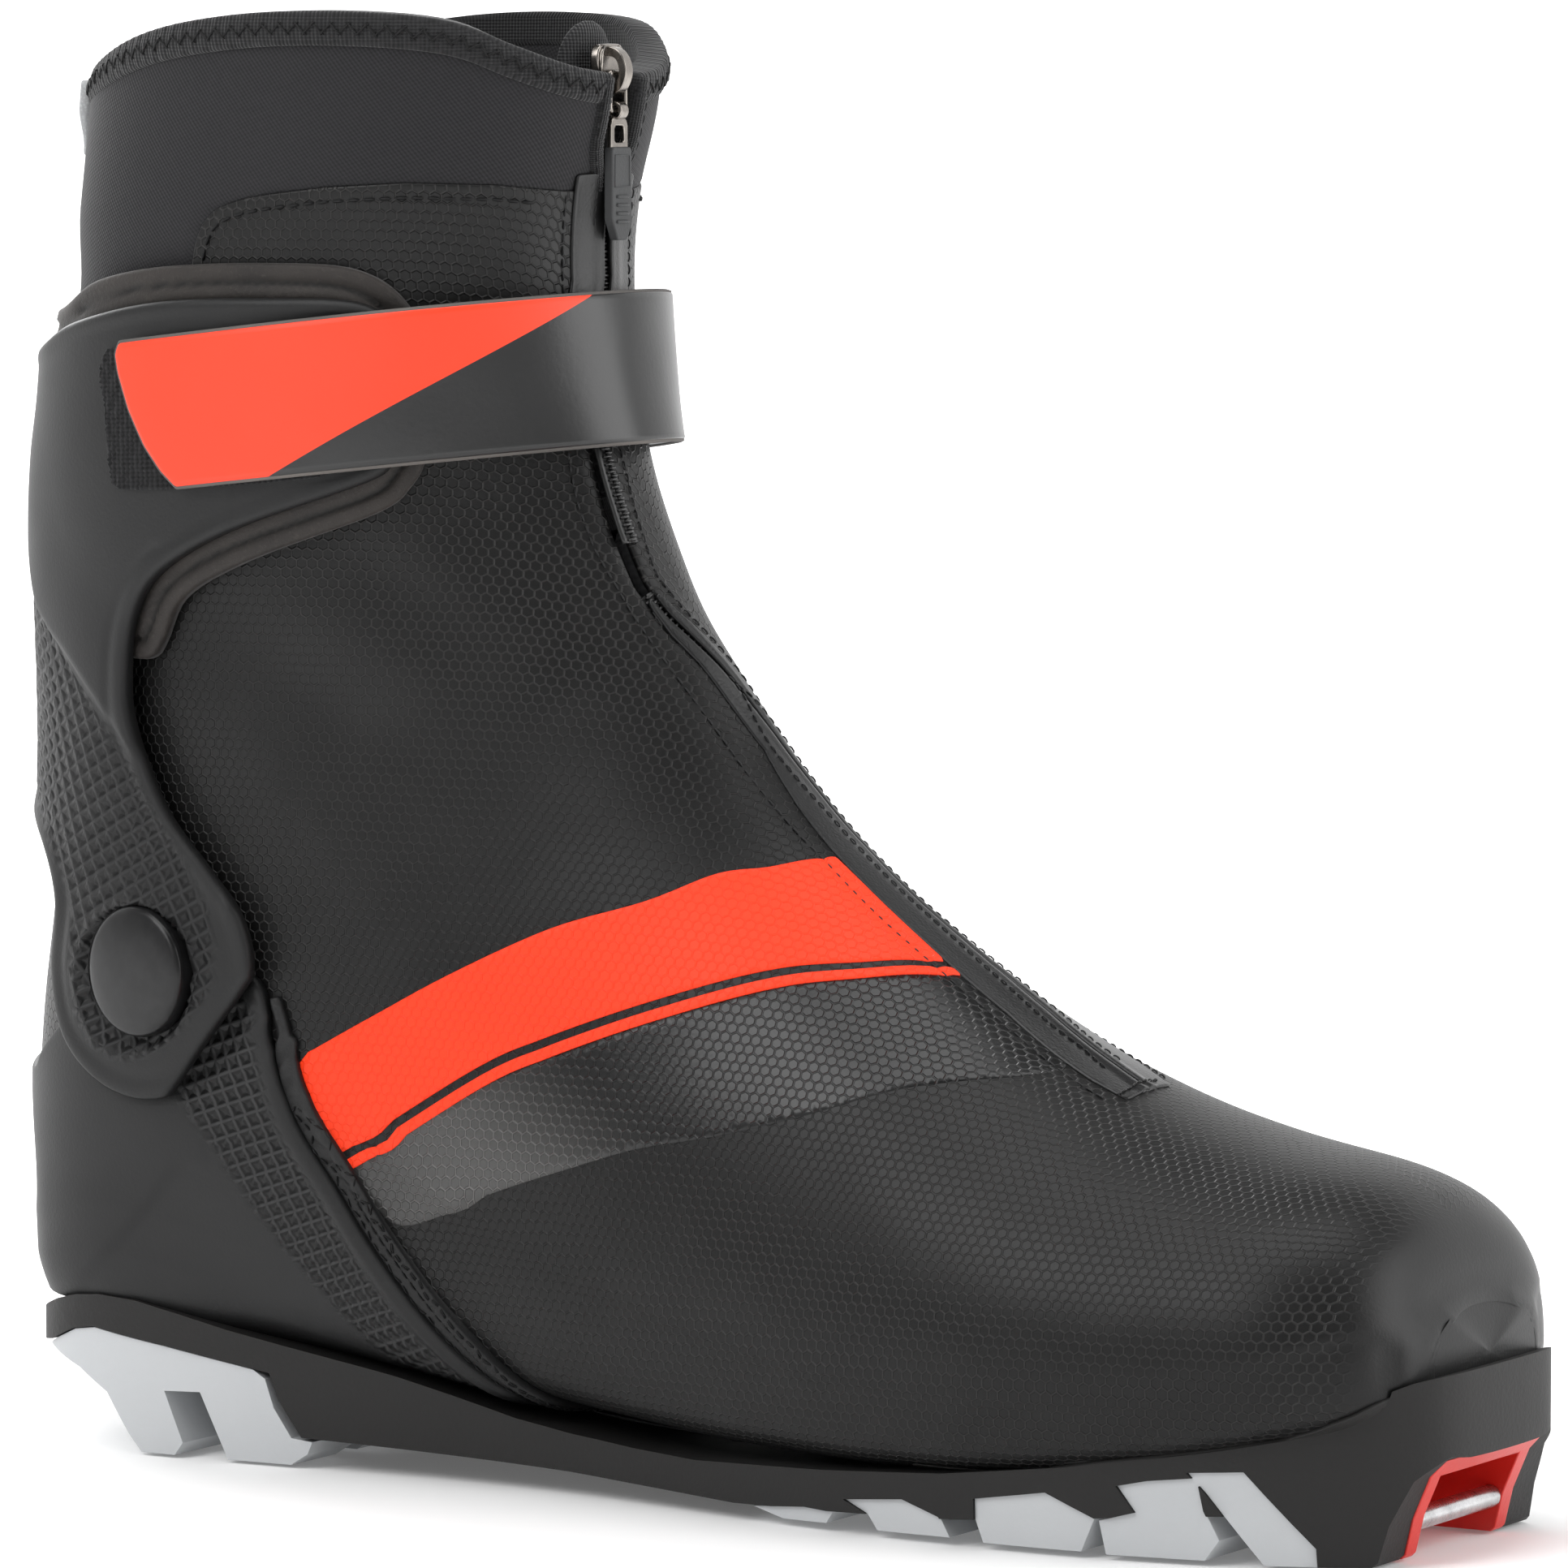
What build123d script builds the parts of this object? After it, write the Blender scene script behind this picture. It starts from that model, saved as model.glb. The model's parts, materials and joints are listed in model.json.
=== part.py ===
from build123d import *
import math
import os
import numpy as np

# Cross country skating boot, right foot. Millimetres.
# Modelling frame: heel back at x = 0, toe towards +X, lateral side towards -Y, floor at z = 0.
# Every solid is moved by -ORIGIN when written, so that the row's origin is the middle of the footprint.
ORIGIN = (149.4, 1.0, 0.0)

# ---- driving dimensions -------------------------------------------------
PIVOT = (45.0, 0.0, 90.0)          # ankle hinge axis, along Y
ANKLE_FWD, ANKLE_BACK = 15.0, 3.0  # cuff travel, degrees
COVER_T = 1.0                      # coated outer fabric
LINING_IN, LINING_OUT = -5.0, -2.2
STIFF_IN, STIFF_OUT = -2.0, -1.2   # heel counter and toe stiffener
CUP_IN, CUP_OUT = 0.3, 2.3         # moulded heel cup
TRIM_IN, TRIM_OUT = 0.3, 1.7
PAD_IN, PAD_OUT = 0.3, 3.0         # foam rim under the cuff
CUFF_IN, CUFF_OUT = 3.5, 6.0       # pivoting cuff
HOOK_IN, HOOK_OUT = 6.15, 7.1      # hook patch on the cuff
STRAP_T = 1.5
STRAP_SIDE, STRAP_FRONT = 7.5, 5.2 # strap's inner face, off the upper
RIM_FRONT_Z, RIM_SIDE_Z, RIM_BACK_Z = 251.0, 264.0, 250.0
BAR_X, BAR_Z, BAR_R, BAR_HALF = 289.0, 6.3, 2.0, 15.0
BAR_END_R = 1.4                    # turned-down ends held in the toe insert
PIN_R, PIN_CLEAR = 4.0, 0.06
CAP_R = 12.0

# station rows: xb zb xf zf  Wlateral Wmedial yc  s_of_widest  n_upper n_lower
ST = np.array([
 [293.0, 26, 292.5, 42, 19,19, 2, .375, 2.2,2.2],
 [291.5, 24.5, 290.5, 52, 29,29, 2, .32, 2.3,2.8],
 [286.5, 22.5, 285.0, 59, 37,38, 2, .277, 2.3,3.5],
 [277.5, 20.5, 276.0, 63.5, 43,43, 2, .249, 2.3,4.0],
 [262.0, 17, 260.0, 67, 47,47, 2, .263, 2.2,4.5],
 [240.0, 13, 240.0, 72, 50,49, 2, .276, 2.1,4.5],
 [210.0, 10, 213.0, 83, 50,48, 1, .28, 2.0,4.5],
 [178.0, 10, 190.0, 97.5, 46,45, 0, .27, 1.9,4.5],
 [145.0, 12, 169.0,113.5, 42,42, 0, .28, 1.9,4.2],
 [110.0, 16, 153.5,130, 39,40, 0, .30, 1.95,4.0],
 [ 75.0, 21, 143.0,145, 38,39, 0, .34, 2.0,3.8],
 [ 38.0, 25, 134.5,157.5, 38.5,39.5, 0, .40, 2.0,3.2],
 [ 10.0, 33, 128.5,169.5, 39,40, 0, .44, 2.05,2.6],
 [  0.5, 58, 123.5,181.5, 39,40, 0, .46, 2.1,2.3],
 [  3.0, 90, 120.0,193, 39,40, 0, .47, 2.15,2.2],
 [  5.0,125, 118.0,205, 39,40, 0, .48, 2.2,2.1],
 [  5.0,165, 117.0,219, 39.5,40, 0, .50, 2.25,2.15],
 [  8.5,205, 118.0,233, 40,40, 0, .50, 2.3,2.2],
 [ 14.0,250, 122.0,250, 41,41, 0, .50, 2.3,2.2],
 [ 15.0,278, 124.5,278, 41.5,41.5, 0, .50, 2.3,2.2],
])


def knots(st):
    d = np.linalg.norm(np.diff(st[:, 0:2], axis=0), axis=1) * .5 + np.linalg.norm(np.diff(st[:, 2:4], axis=0), axis=1) * .5
    return np.concatenate([[0], np.cumsum(d)])


def section(p, t, th, off):
    """Closed section rows (n, m, 3) of the shaped body at an offset from its outer fabric."""
    p = p[:, None, :]
    B, F = p[..., 0:2], p[..., 2:4]
    e = (F - B) / np.linalg.norm(F - B, axis=-1, keepdims=True)
    k = (off * np.clip(1 - np.asarray(t) / 42.0, 0, 1))[:, None]
    B = B - e * off + np.stack([k, 0 * k], -1)
    F = F + e * off + np.stack([k, 0 * k], -1)
    c, s = np.cos(th)[None], np.sin(th)[None]
    n = np.where(s >= 0, p[..., 8], p[..., 9])
    cc, ss = np.sign(c) * np.abs(c) ** (2 / n), np.sign(s) * np.abs(s) ** (2 / n)
    W = np.where(c >= 0, p[..., 5], p[..., 4]) + off
    sw = p[..., 7]
    h = np.where(ss >= 0, sw + (1 - sw) * ss, sw + sw * ss)
    xz = B + (F - B) * h[..., None]
    return np.stack([xz[..., 0], p[..., 6] + W * cc + 0 * h, xz[..., 1]], -1)


K = knots(ST)
_lofts = {}


def closed(pts):
    """Closed smooth wire through points at even parameters, so that lofted sections share their knots."""
    return Wire([Edge.make_spline(pts, periodic=True, parameters=[i / len(pts) for i in range(len(pts) + 1)])])


def body(off, lift=0.0):
    """Solid whose surface is the upper's outer surface moved out by off."""
    key = (round(off, 3), lift)
    if key not in _lofts:
        th = np.linspace(-np.pi / 2, 1.5 * np.pi, 24, endpoint=False) - 0.2
        rows = section(ST, K, th, off)
        wires = [closed([Vector(*q) for q in r]) for r in rows]
        s = Solid.make_loft(wires)
        if s.volume < 0:
            raise ValueError("inverted loft")
        _lofts[key] = s.moved(Location((0, 0, lift))) if lift else s
    return _lofts[key]


def one(shape):
    """All solids of a boolean result as one compound, or the single solid."""
    s = [x for x in shape.solids() if x.volume > 0.5]
    return s[0] if len(s) == 1 else Compound(s)


_shells = {}


def shell(a, b):
    if (a, b) not in _shells:
        _shells[a, b] = one(body(b) - body(a))
    return _shells[a, b]


def prism(pts, y0, y1, smooth=False):
    v = [Vector(x, y0, z) for x, z in pts]
    w = Wire([Edge.make_spline(v, periodic=True)]) if smooth else Wire.make_polygon(v, close=True)
    return Solid.extrude(Face(w), Vector(0, y1 - y0, 0))


def plan(pts, z0, z1, smooth=False):
    v = [Vector(x, y, z0) for x, y in pts]
    w = Wire([Edge.make_spline(v, periodic=True)]) if smooth else Wire.make_polygon(v, close=True)
    return Solid.extrude(Face(w), Vector(0, 0, z1 - z0))


def box(x0, x1, y0, y1, z0, z1):
    return Solid.make_box(x1 - x0, y1 - y0, z1 - z0).moved(Location((x0, y0, z0)))


def cyl_y(x, z, r, y0, y1):
    return Solid.make_cylinder(r, y1 - y0, Plane(origin=(x, y0, z), x_dir=(1, 0, 0), z_dir=(0, 1, 0)))


def cyl_x(y, z, r, x0, x1):
    return Solid.make_cylinder(r, x1 - x0, Plane(origin=(x0, y, z), x_dir=(0, 1, 0), z_dir=(1, 0, 0)))


def polar(a_deg, r):
    a = math.radians(a_deg)
    return (PIVOT[0] + r * math.cos(a), PIVOT[2] + r * math.sin(a))


def sector(a0, a1, r=260, y0=-80, y1=80):
    """Wedge about the ankle axis between two angles, counted from +X towards +Z."""
    n = max(2, int(abs(a1 - a0) / 20) + 1)
    pts = [(PIVOT[0], PIVOT[2])] + [polar(a0 + (a1 - a0) * i / n, r) for i in range(n + 1)]
    return prism(pts, y0, y1)


parts = {}


def keep(name, shape):
    parts[name] = one(shape)
    print(name, round(parts[name].volume, 1), len(parts[name].solids()), parts[name].is_valid, flush=True)


# ---- regions --------------------------------------------------------------
A_SHAFT0, A_SHAFT1 = 42.0, 143.0          # the leg part turns with the cuff
A_VAMP0, A_VAMP1 = 24.0, 149.0            # the foot part stays with the sole
leg = sector(A_SHAFT0, A_SHAFT1) - cyl_y(PIVOT[0], PIVOT[2], 10, -80, 80)
foot_cut = sector(A_VAMP0, A_VAMP1) + cyl_y(PIVOT[0], PIVOT[2], 10, -80, 80)
wedge = sector(A_VAMP0 + .6, A_SHAFT0 - .6) - cyl_y(PIVOT[0], PIVOT[2], 30, -80, 80)


def rim(dz=0.0):
    """Everything under the collar's rim, which is high at the sides and dips at the back and front."""
    top = [(-30, RIM_BACK_Z - 6), (12, RIM_BACK_Z), (40, RIM_BACK_Z + 9), (84, RIM_SIDE_Z - .5), (104, RIM_SIDE_Z - 2), (124, RIM_FRONT_Z), (150, RIM_FRONT_Z - 18)]
    v = [Vector(x, -80, z + dz) for x, z in top]
    w = Wire([Edge.make_spline(v)] + list(Wire.make_polygon([v[-1], Vector(150, -80, -60), Vector(-30, -80, -60), v[0]], close=False).edges()))
    return Solid.extrude(Face(w), Vector(0, 160, 0))


# feather line, the top of the sole's side wall
FEATHER = [(-8, 20.5), (3, 22.2), (8.2, 23.8), (15.4, 26.3), (21, 27.7), (27.5, 28.4), (36.2, 28.0), (45.3, 26.3), (56.5, 23.9), (68.3, 21.8), (80, 19.9), (92, 17.9), (104.5, 15.3), (118, 12.4), (130, 10.8), (145, 9.6), (159, 9.0), (188, 10.3),
           (213, 12.0), (237, 15.0), (252, 17.4), (268, 20.8), (276, 23.6), (285, 27.3), (294, 31.3), (303, 33.5)]

# ---- sole unit ----------------------------------------------------------
half = [(1.0, 0), (2.8, 11.5), (7.5, 21), (15.5, 28.3), (28, 32.6), (45, 33.5), (70, 32.5), (100, 32), (130, 33.5), (160, 38.5), (190, 43.5), (215, 45.5), (238, 45),
        (255, 42.5), (270, 38.5), (282, 33.5), (291, 28), (297.5, 21), (299.8, 12), (300.3, 0)]
outline = half + [(x, -y * (1.0 if x < 100 else 0.985)) for x, y in half[-2:0:-1]]
outline = [(x, y + (1.0 if 60 < x < 270 else 0.0) * 0.5) for x, y in outline]
plan_full = plan(outline, -5, 60, smooth=True)
side = FEATHER + [(303, 16), (298.4, 18.4), (294.3, 14.6), (291.0, 7.0), (289.5, 0.8), (288.6, 0.0), (279.0, 0.0), (271.5, 8.5), (252, 7.6), (236, 5.8), (215, 4.2), (190, 3.2), (168, 2.4),
                  (150, 3.0), (130, 3.9), (96, 4.7), (72, 5.2), (67.0, 12.0), (65.3, 16.6), (60, 17.5), (42.5, 20.2), (26.2, 22.3), (20.5, 21.4), (13, 18.4), (-8, 14.6)]
sole = (prism(side, -70, 70) & plan_full) - body(0.25)
GROOVE_Y, GROOVE_W, GROOVE_TOP = 13.5, 7.0, 5.6     # guide grooves that ride on the binding's two ridges
grooves = [box(160, 268, s * GROOVE_Y - GROOVE_W / 2, s * GROOVE_Y + GROOVE_W / 2, -2, GROOVE_TOP) for s in (-1, 1)]
heel_grooves = [box(-10, 76, s * GROOVE_Y - GROOVE_W / 2, s * GROOVE_Y + GROOVE_W / 2, -2, 6.5) for s in (-1, 1)]
slot_out = BAR_HALF + 4.0
slot = prism([(306, -3), (306, 17.8), (291, 17.8), (281, 17.8), (272.5, 14.5), (269.5, -3)], -slot_out, slot_out)
sole = sole - slot
for g in grooves:
    sole = sole - g
shank_slot = prism([(58, 19.2), (104, 12.0), (150, 7.6), (150, 30), (58, 60)], -14.2, 14.2)
sole = sole - shank_slot

# heel tread: one moulded block with two rows of lugs
heel_prof = [(11.0, 17.3), (13.5, 18.4), (20.9, 21.3), (26.2, 22.1), (42.5, 20.0), (61.5, 17.0), (64.1, 15.4), (65.9, 10.2), (69.6, 4.9), (74.0, 4.5), (73.0, 2.2), (69.5, 0.0), (56.2, 0.0), (50.3, 12.0), (42.6, 11.7), (46.6, 2.4), (44.8, 0.0), (37.4, 0.0), (34.6, 3.0), (29.2, 10.4), (22, 14.2)]
tread_plan = plan([(x * 1.0 + (0.4 if x < 20 else 0), y * 0.985) for x, y in outline], -5, 60, smooth=True)
heel_tread = prism(heel_prof, -60, 60) & tread_plan
for g in heel_grooves:
    heel_tread = heel_tread - g
# front tread: thin carrier let into the sole, with cleats that wrap up over its edge
CLEATS = [
    [(172, 2.3), (184, 3.4), (190, 3.1), (188.5, 0.9), (179, 0.7)],
    [(192.5, 5.6), (205, 6.8), (212.5, 4.4), (214.5, 0.9), (199.5, 0.7), (197.5, 3.4)],
    [(219.5, 8.2), (233.5, 10.4), (242.5, 6.6), (240.0, 0.6), (221.2, 0.6), (219.6, 4.6)],
    [(246.5, 12.4), (252, 13.6), (260.8, 14.6), (262.0, 9.0), (264.5, 4.0), (262.0, 0.4), (244.5, 0.4), (243.2, 6.2), (249.8, 8.0)],
    [(259.0, 15.4), (268.8, 16.0), (280.4, 3.2), (280.6, 0.0), (272.0, 0.0), (262.4, 11.8)],
]
cleat_block = None
for c in CLEATS:
    b = prism(c, -60, 60)
    cleat_block = b if cleat_block is None else cleat_block + b
core = plan([(x, y * 0.80) for x, y in outline], -5, 60, smooth=True)
carrier = prism([(170, 4.2), (190, 5.0), (215, 6.2), (236, 7.8), (252, 9.6), (268, 10.6), (268, 8.2), (252, 7.0), (236, 5.2), (215, 3.6), (190, 2.6), (170, 1.8)], -60, 60)
edge_band = tread_plan
front = (cleat_block & edge_band)
front = front + (carrier & plan([(x, y * 0.9) for x, y in outline], -5, 60, smooth=True))
# hollow under the flaps so that the cleats hug the sole's side wall
front = front - (prism([(160, 6.0), (200, 7.4), (236, 9.2), (252, 11.0), (268, 12.0), (300, 40), (160, 40)], -60, 60) & plan([(x, y * 0.93) for x, y in outline], -5, 60, smooth=True))
front = front - slot - box(266, 300, -slot_out, slot_out, -5, 30)
for g in grooves:
    front = front - g
front = one(front - body(0.3))
for g in (-1, 1):
    front = front - box(100, 320, g * GROOVE_Y - GROOVE_W / 2, g * GROOVE_Y + GROOVE_W / 2, -10, 60)
sole = sole - front
sole = sole - (cleat_block - tread_plan)
sole = sole - heel_tread
keep("outsole", sole)
keep("heel_tread", heel_tread)
keep("tread_lateral", front & box(100, 320, -80, -GROOVE_Y, -10, 60))
keep("tread_centre", front & box(100, 320, -GROOVE_Y, GROOVE_Y, -10, 60))
keep("tread_medial", front & box(100, 320, GROOVE_Y, 80, -10, 60))

# toe insert: horseshoe that lines the binding slot
so = slot_out - 0.05
insert = prism([(306, -3), (306, 17.6), (291, 17.6), (281, 17.6), (272.8, 14.4), (269.9, -3)], -so, so) - prism([(310, -5), (310, 14.6), (291, 14.2), (282, 14.2), (276.4, 11.5), (273.6, -5)], -BAR_HALF, BAR_HALF)
insert = insert & prism([(298.4, 18.6), (294.6, 14.6), (291.3, 7.0), (289.8, 0.8), (289.0, 0.0), (268, 0.0), (268, 19), (298.9, 19)], -60, 60)
insert = insert - body(0.3) - cyl_y(BAR_X, BAR_Z, BAR_END_R + 0.02, -so - 1, so + 1)
keep("toe_insert", insert)
keep("binding_bar", cyl_y(BAR_X, BAR_Z, BAR_R, -BAR_HALF + .05, BAR_HALF - .05) + cyl_y(BAR_X, BAR_Z, BAR_END_R, -so + .3, so - .3))

# shank, lasting board, footbed
keep("shank", prism([(59, 19.3), (104, 12.2), (149, 7.8), (149, 9.3), (104, 13.8), (59, 20.9)], -13.9, 13.9) - body(0.3))


def under(dz):
    pts = [(x, z + dz) for x, z in [(-8, 34), (10, 28.5), (38, 25), (75, 21), (110, 16), (145, 12), (178, 10), (210, 10.3), (240, 13), (262, 17), (278, 20.6), (300, 25)]]
    return prism(pts + [(300, -40), (-8, -40)], -70, 70)


keep("insole_board", (body(-1.5) & under(4.6) & prism([(6, -40), (281, -40), (281, 70), (6, 70)], -70, 70)) - shell(-COVER_T, 0))
above_board = under(4.9)
keep("footbed", (body(-6.0) - under(5.1)) & under(9.2) & prism([(8, -40), (268, -40), (268, 70), (8, 70)], -70, 70))

# ---- foot part of the upper ------------------------------------------------
zip_slit = prism([(60, 40), (330, 40), (330, 320), (60, 320)], -3.1, 3.1)
zip_end_x = 232.0
slit_low = zip_slit & box(60, zip_end_x, -10, 10, 40, 320)
vamp = (shell(-COVER_T, 0) - foot_cut) - slit_low
keep("vamp_cover", vamp)
lining = (shell(LINING_IN, LINING_OUT) - foot_cut) - above_board
LINING_SPLIT = 150.0
keep("vamp_lining", lining & box(LINING_SPLIT, 330, -80, 80, -20, 330))
keep("quarter_lining", lining & box(-30, LINING_SPLIT, -80, 80, -20, 330))
stiff = shell(STIFF_IN, STIFF_OUT) - above_board
keep("heel_counter", stiff & (prism([(-10, 20), (72, 20), (58, 55), (30, 84), (-10, 92)], -70, 70)) - cyl_y(PIVOT[0], PIVOT[2], 10, -80, 80))
keep("toe_stiffener", stiff & prism([(287.5, 0), (287.5, 80), (246, 80), (262, 45), (256, 0)], -70, 70))

# ---- leg part of the upper --------------------------------------------------
overlay_top = prism([(150, 243), (125, 229.5), (110, 232.0), (97, 232.2), (83, 231.6), (64.7, 229.6), (57, 226.5), (54.5, 221), (52.0, 205), (44, 180), (30, 150), (20, 132), (-20, 120), (-20, -20), (150, -20)], -70, 70)
keep("shaft_cover", (shell(-COVER_T, 0) & leg & overlay_top) - zip_slit)
slit_wide = box(60, 330, -5.2, 5.2, 238.5, 320)
collar = shell(LINING_IN, -1.2) & leg & rim(-6.2)
keep("collar", collar - zip_slit - slit_wide)
hem = (shell(LINING_IN - .3, 0.5) & leg & rim(0.0)) - rim(-6.0)
keep("collar_binding", hem - zip_slit - slit_wide)
keep("ankle_gusset", shell(LINING_IN, 0.0) & wedge)

# ---- zipper -----------------------------------------------------------------
facing = shell(0.2, 0.9) & (box(60, 330, -11, 11, 40, 246) - box(60, 330, -3.1, 3.1, 0, 320))
keep("zip_facing_upper", facing & leg & box(60, 330, -40, 40, 100, 229))
keep("zip_facing_lower", (facing & box(60, 237, -40, 40, 60, 320)) - foot_cut)
# the upper chain sinks behind the collar's edges near the top and is straight where the slider runs
chain_path = [(127.6, 172.0), (123.9, 181.5), (120.5, 193.0), (118.4, 205.0), (117.3, 219.0), (117.0, 228.0), (116.8, 236.0), (116.8, 252.0)]
chain_prof = chain_path + [(x - 1.5, z) for x, z in reversed(chain_path)]
keep("zipper_chain_upper", prism(chain_prof, -2.8, 2.8) & leg)
chain = shell(-COVER_T, 0.5) & box(60, 330, -2.8, 2.8, 40, 320)
keep("zipper_chain_lower", (chain & box(60, zip_end_x - 1, -40, 40, 60, 320)) - foot_cut)

# slider, at the top of its travel: plate, bridge, link and tab, about one local origin
SL = (114.5, 252.3)


def at_slider(shape):
    return shape.moved(Location((SL[0], 0, SL[1])))


slider = box(2.6, 4.4, -4.6, 4.6, -4.4, 5) + prism([(4.4, -4.2), (7.4, -3.0), (8.2, 0), (7.4, 3.4), (4.4, 4.6)], -1.3, 1.3)
slider = slider - prism([(4.4, -2.6), (6.2, -1.6), (6.7, 0), (6.2, 1.8), (4.4, 2.8)], -3, 3)
keep("zip_slider", at_slider(slider))
# link: an oblong ring through the bridge, turning about its top bar
LINK_P = (5.6, -0.2)
link = box(5.15, 6.05, -3.2, 3.2, -7.45, 0.4) - box(4, 8, -1.9, 1.9, -6.55, -0.8)
link = link - box(4.0, 8.0, -1.9, 1.9, -1.5, 3.0) + box(5.15, 6.05, -2.2, 2.2, -0.65, 0.25)
keep("zip_pull_link", at_slider(link))
# tab: a metal eye round the link's lower bar, a windowed plate and a moulded grip
TAB_P = (5.6, -7.0)
eye = cyl_y(TAB_P[0], TAB_P[1], 1.75, -1.5, 1.5) - cyl_y(TAB_P[0], TAB_P[1], 1.0, -3, 3)
tab = eye + (box(5.1, 6.1, -2.9, 2.9, -14.2, -8.6) - box(4, 8, -1.6, 1.6, -12.6, -9.8))
tab = tab + (box(4.7, 6.7, -3.3, 3.3, -30.3, -13.4) - plan([(4, -2.2), (4, -4), (8, -4), (8, -2.2)], -31, -28) - plan([(4, 2.2), (4, 4), (8, 4), (8, 2.2)], -31, -28))
keep("zip_pull_tab", at_slider(tab))
guard = plan([(112.9, -9), (115.0, -9), (115.0, 9), (112.9, 9)], 244.2, 253) + cyl_x(0, 252.6, 9.0, 112.9, 115.0)
keep("zip_guard", guard & box(60, 330, -9, 9, 244.2, 270))

# ---- heel cup and trims ------------------------------------------------------
cup_prof = [(-12, 16), (-12, 71.0), (8, 71.0), (14, 74), (26, 84), (32, 98), (44, 105), (56, 101), (62, 92), (68.5, 87.5), (72.0, 84), (73.0, 77.0), (84.0, 61.5), (103, 40.5), (124, 19.0), (133, 8)]
cup = shell(CUP_IN, CUP_OUT) & prism(cup_prof, -70, 70)
sole_zone = prism(FEATHER + [(303, -20), (-6, -20)], -80, 80)
sole_clear = prism([(x, z + 0.3) for x, z in FEATHER] + [(303, -20), (-6, -20)], -80, 80)
trim_prof = [(68.9, 87.8), (76.5, 90.5), (79.5, 84), (80, 77), (93, 58.5), (112, 37.5), (136, 14), (133.3, 7.7), (124.3, 19.3), (103.3, 40.8), (84.3, 61.8), (73.4, 77.3), (72.5, 84.1)]
trim = (shell(TRIM_IN, TRIM_OUT) & prism(trim_prof, -70, 70)) - sole_clear
# moulded skirt that carries the cup down to the edge of the sole


def grown(pts, d):
    """Outline moved outwards by d."""
    a = np.array(pts); t = np.roll(a, -1, 0) - np.roll(a, 1, 0)
    n = np.stack([t[:, 1], -t[:, 0]], 1); n /= np.linalg.norm(n, axis=1)[:, None]
    c = a.mean(0)
    if ((a - c) * n).sum() < 0:
        n = -n
    return a + n * d


rings = []
for z, d in ((18, -0.6), (30, 0.9), (43, 2.2), (60, -2.6)):
    v = [Vector(x, y, z) for x, y in grown(outline, d)]
    rings.append(Wire([Edge.make_spline(v, periodic=True)]))
skirt = Solid.make_loft(rings) & prism([(-20, 18), (-20, 60), (14, 60), (30, 44), (48, 32), (72, 20), (60, 16)], -80, 80)
cup = cup + (skirt - body(0.35))
cup = cup - sole_clear
cup = cup - cyl_y(PIVOT[0], PIVOT[2], PIN_R, -80, 80)
keep("heel_cup", cup)
keep("side_trim_lateral", trim & box(-20, 320, -80, 0, -20, 300))
keep("side_trim_medial", trim & box(-20, 320, 0, 80, -20, 300))

# ---- cuff -----------------------------------------------------------------
cuff_prof = [(-14, 122), (-14, 190), (-10, 196), (2, 199.5), (18.7, 204), (30.8, 208), (52, 211.5), (75, 211.5), (88, 210.3), (93.5, 206.5), (95.5, 199), (95.5, 186), (94.0, 181), (89.5, 177.5),
             (67.8, 170.9), (56.0, 166.0), (48.5, 161.0), (44.4, 154), (43.4, 145), (44.6, 136), (51.6, 120.6), (60.8, 109.3), (67.5, 101), (70.0, 91), (66.5, 79.8), (58.3, 71.5), (47.4, 68.5), (36.5, 71.5),
             (27.5, 79.5), (24.0, 91.2), (24.4, 104), (19.0, 113.5), (9.5, 119.5), (0, 121.5)]
cuff = shell(CUFF_IN, CUFF_OUT) & prism(cuff_prof, -70, 70)
cuff = cuff - cyl_y(PIVOT[0], PIVOT[2], PIN_R + PIN_CLEAR, -80, 80)
keep("cuff_shell", cuff)
pad_prof = [(-14, 150), (-14, 198), (-8, 206), (4, 208.5), (20, 210), (32.4, 214.8), (50, 217.5), (73.1, 218.0), (88.4, 216.5), (96.5, 210), (99.0, 199), (99.0, 184), (96.5, 177.5), (90.3, 172.6),
            (67.0, 164.6), (53.5, 158), (49.0, 150.5), (46.2, 147.2), (40.0, 147), (20, 149)]
keep("cuff_pad", shell(PAD_IN, PAD_OUT) & prism(pad_prof, -70, 70) & leg)
hook_prof = [(40.5, 203.0), (60, 204.5), (84, 205.5), (90, 205.2), (90, 181.2), (84, 179.0), (58, 178.0), (43.5, 178.2), (41.5, 181)]
keep("hook_patch", shell(HOOK_IN, HOOK_OUT) & prism(hook_prof, -80, 0))

# ---- strap -------------------------------------------------------------------
_TT = np.linspace(K[13], K[-1], 160)


def natcub(u, Y, x):
    n = len(u)
    h = np.diff(u)
    A = np.zeros((n, n))
    R = np.zeros((n,) + Y.shape[1:])
    A[0, 0] = A[-1, -1] = 1
    for i in range(1, n - 1):
        A[i, i - 1], A[i, i], A[i, i + 1] = h[i - 1], 2 * (h[i - 1] + h[i]), h[i]
        R[i] = 6 * ((Y[i + 1] - Y[i]) / h[i] - (Y[i] - Y[i - 1]) / h[i - 1])
    M = np.linalg.solve(A, R)
    k = np.clip(np.searchsorted(u, x, side="right") - 1, 0, n - 2)
    a, b, hk = (u[k + 1] - x)[:, None], (x - u[k])[:, None], h[k][:, None]
    return M[k] * a ** 3 / (6 * hk) + M[k + 1] * b ** 3 / (6 * hk) + (Y[k] / hk - M[k] * hk / 6) * a + (Y[k + 1] / hk - M[k + 1] * hk / 6) * b


STRAP_C, STRAP_SLOPE = 192.0, 0.115   # height at x = 60 and rise per millimetre of x
_DENSE = section(natcub(K, ST, np.linspace(K[9], K[-1], 240)), np.linspace(K[9], K[-1], 240), np.linspace(-np.pi / 2, 1.5 * np.pi, 180, endpoint=False), 0.0)


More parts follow.
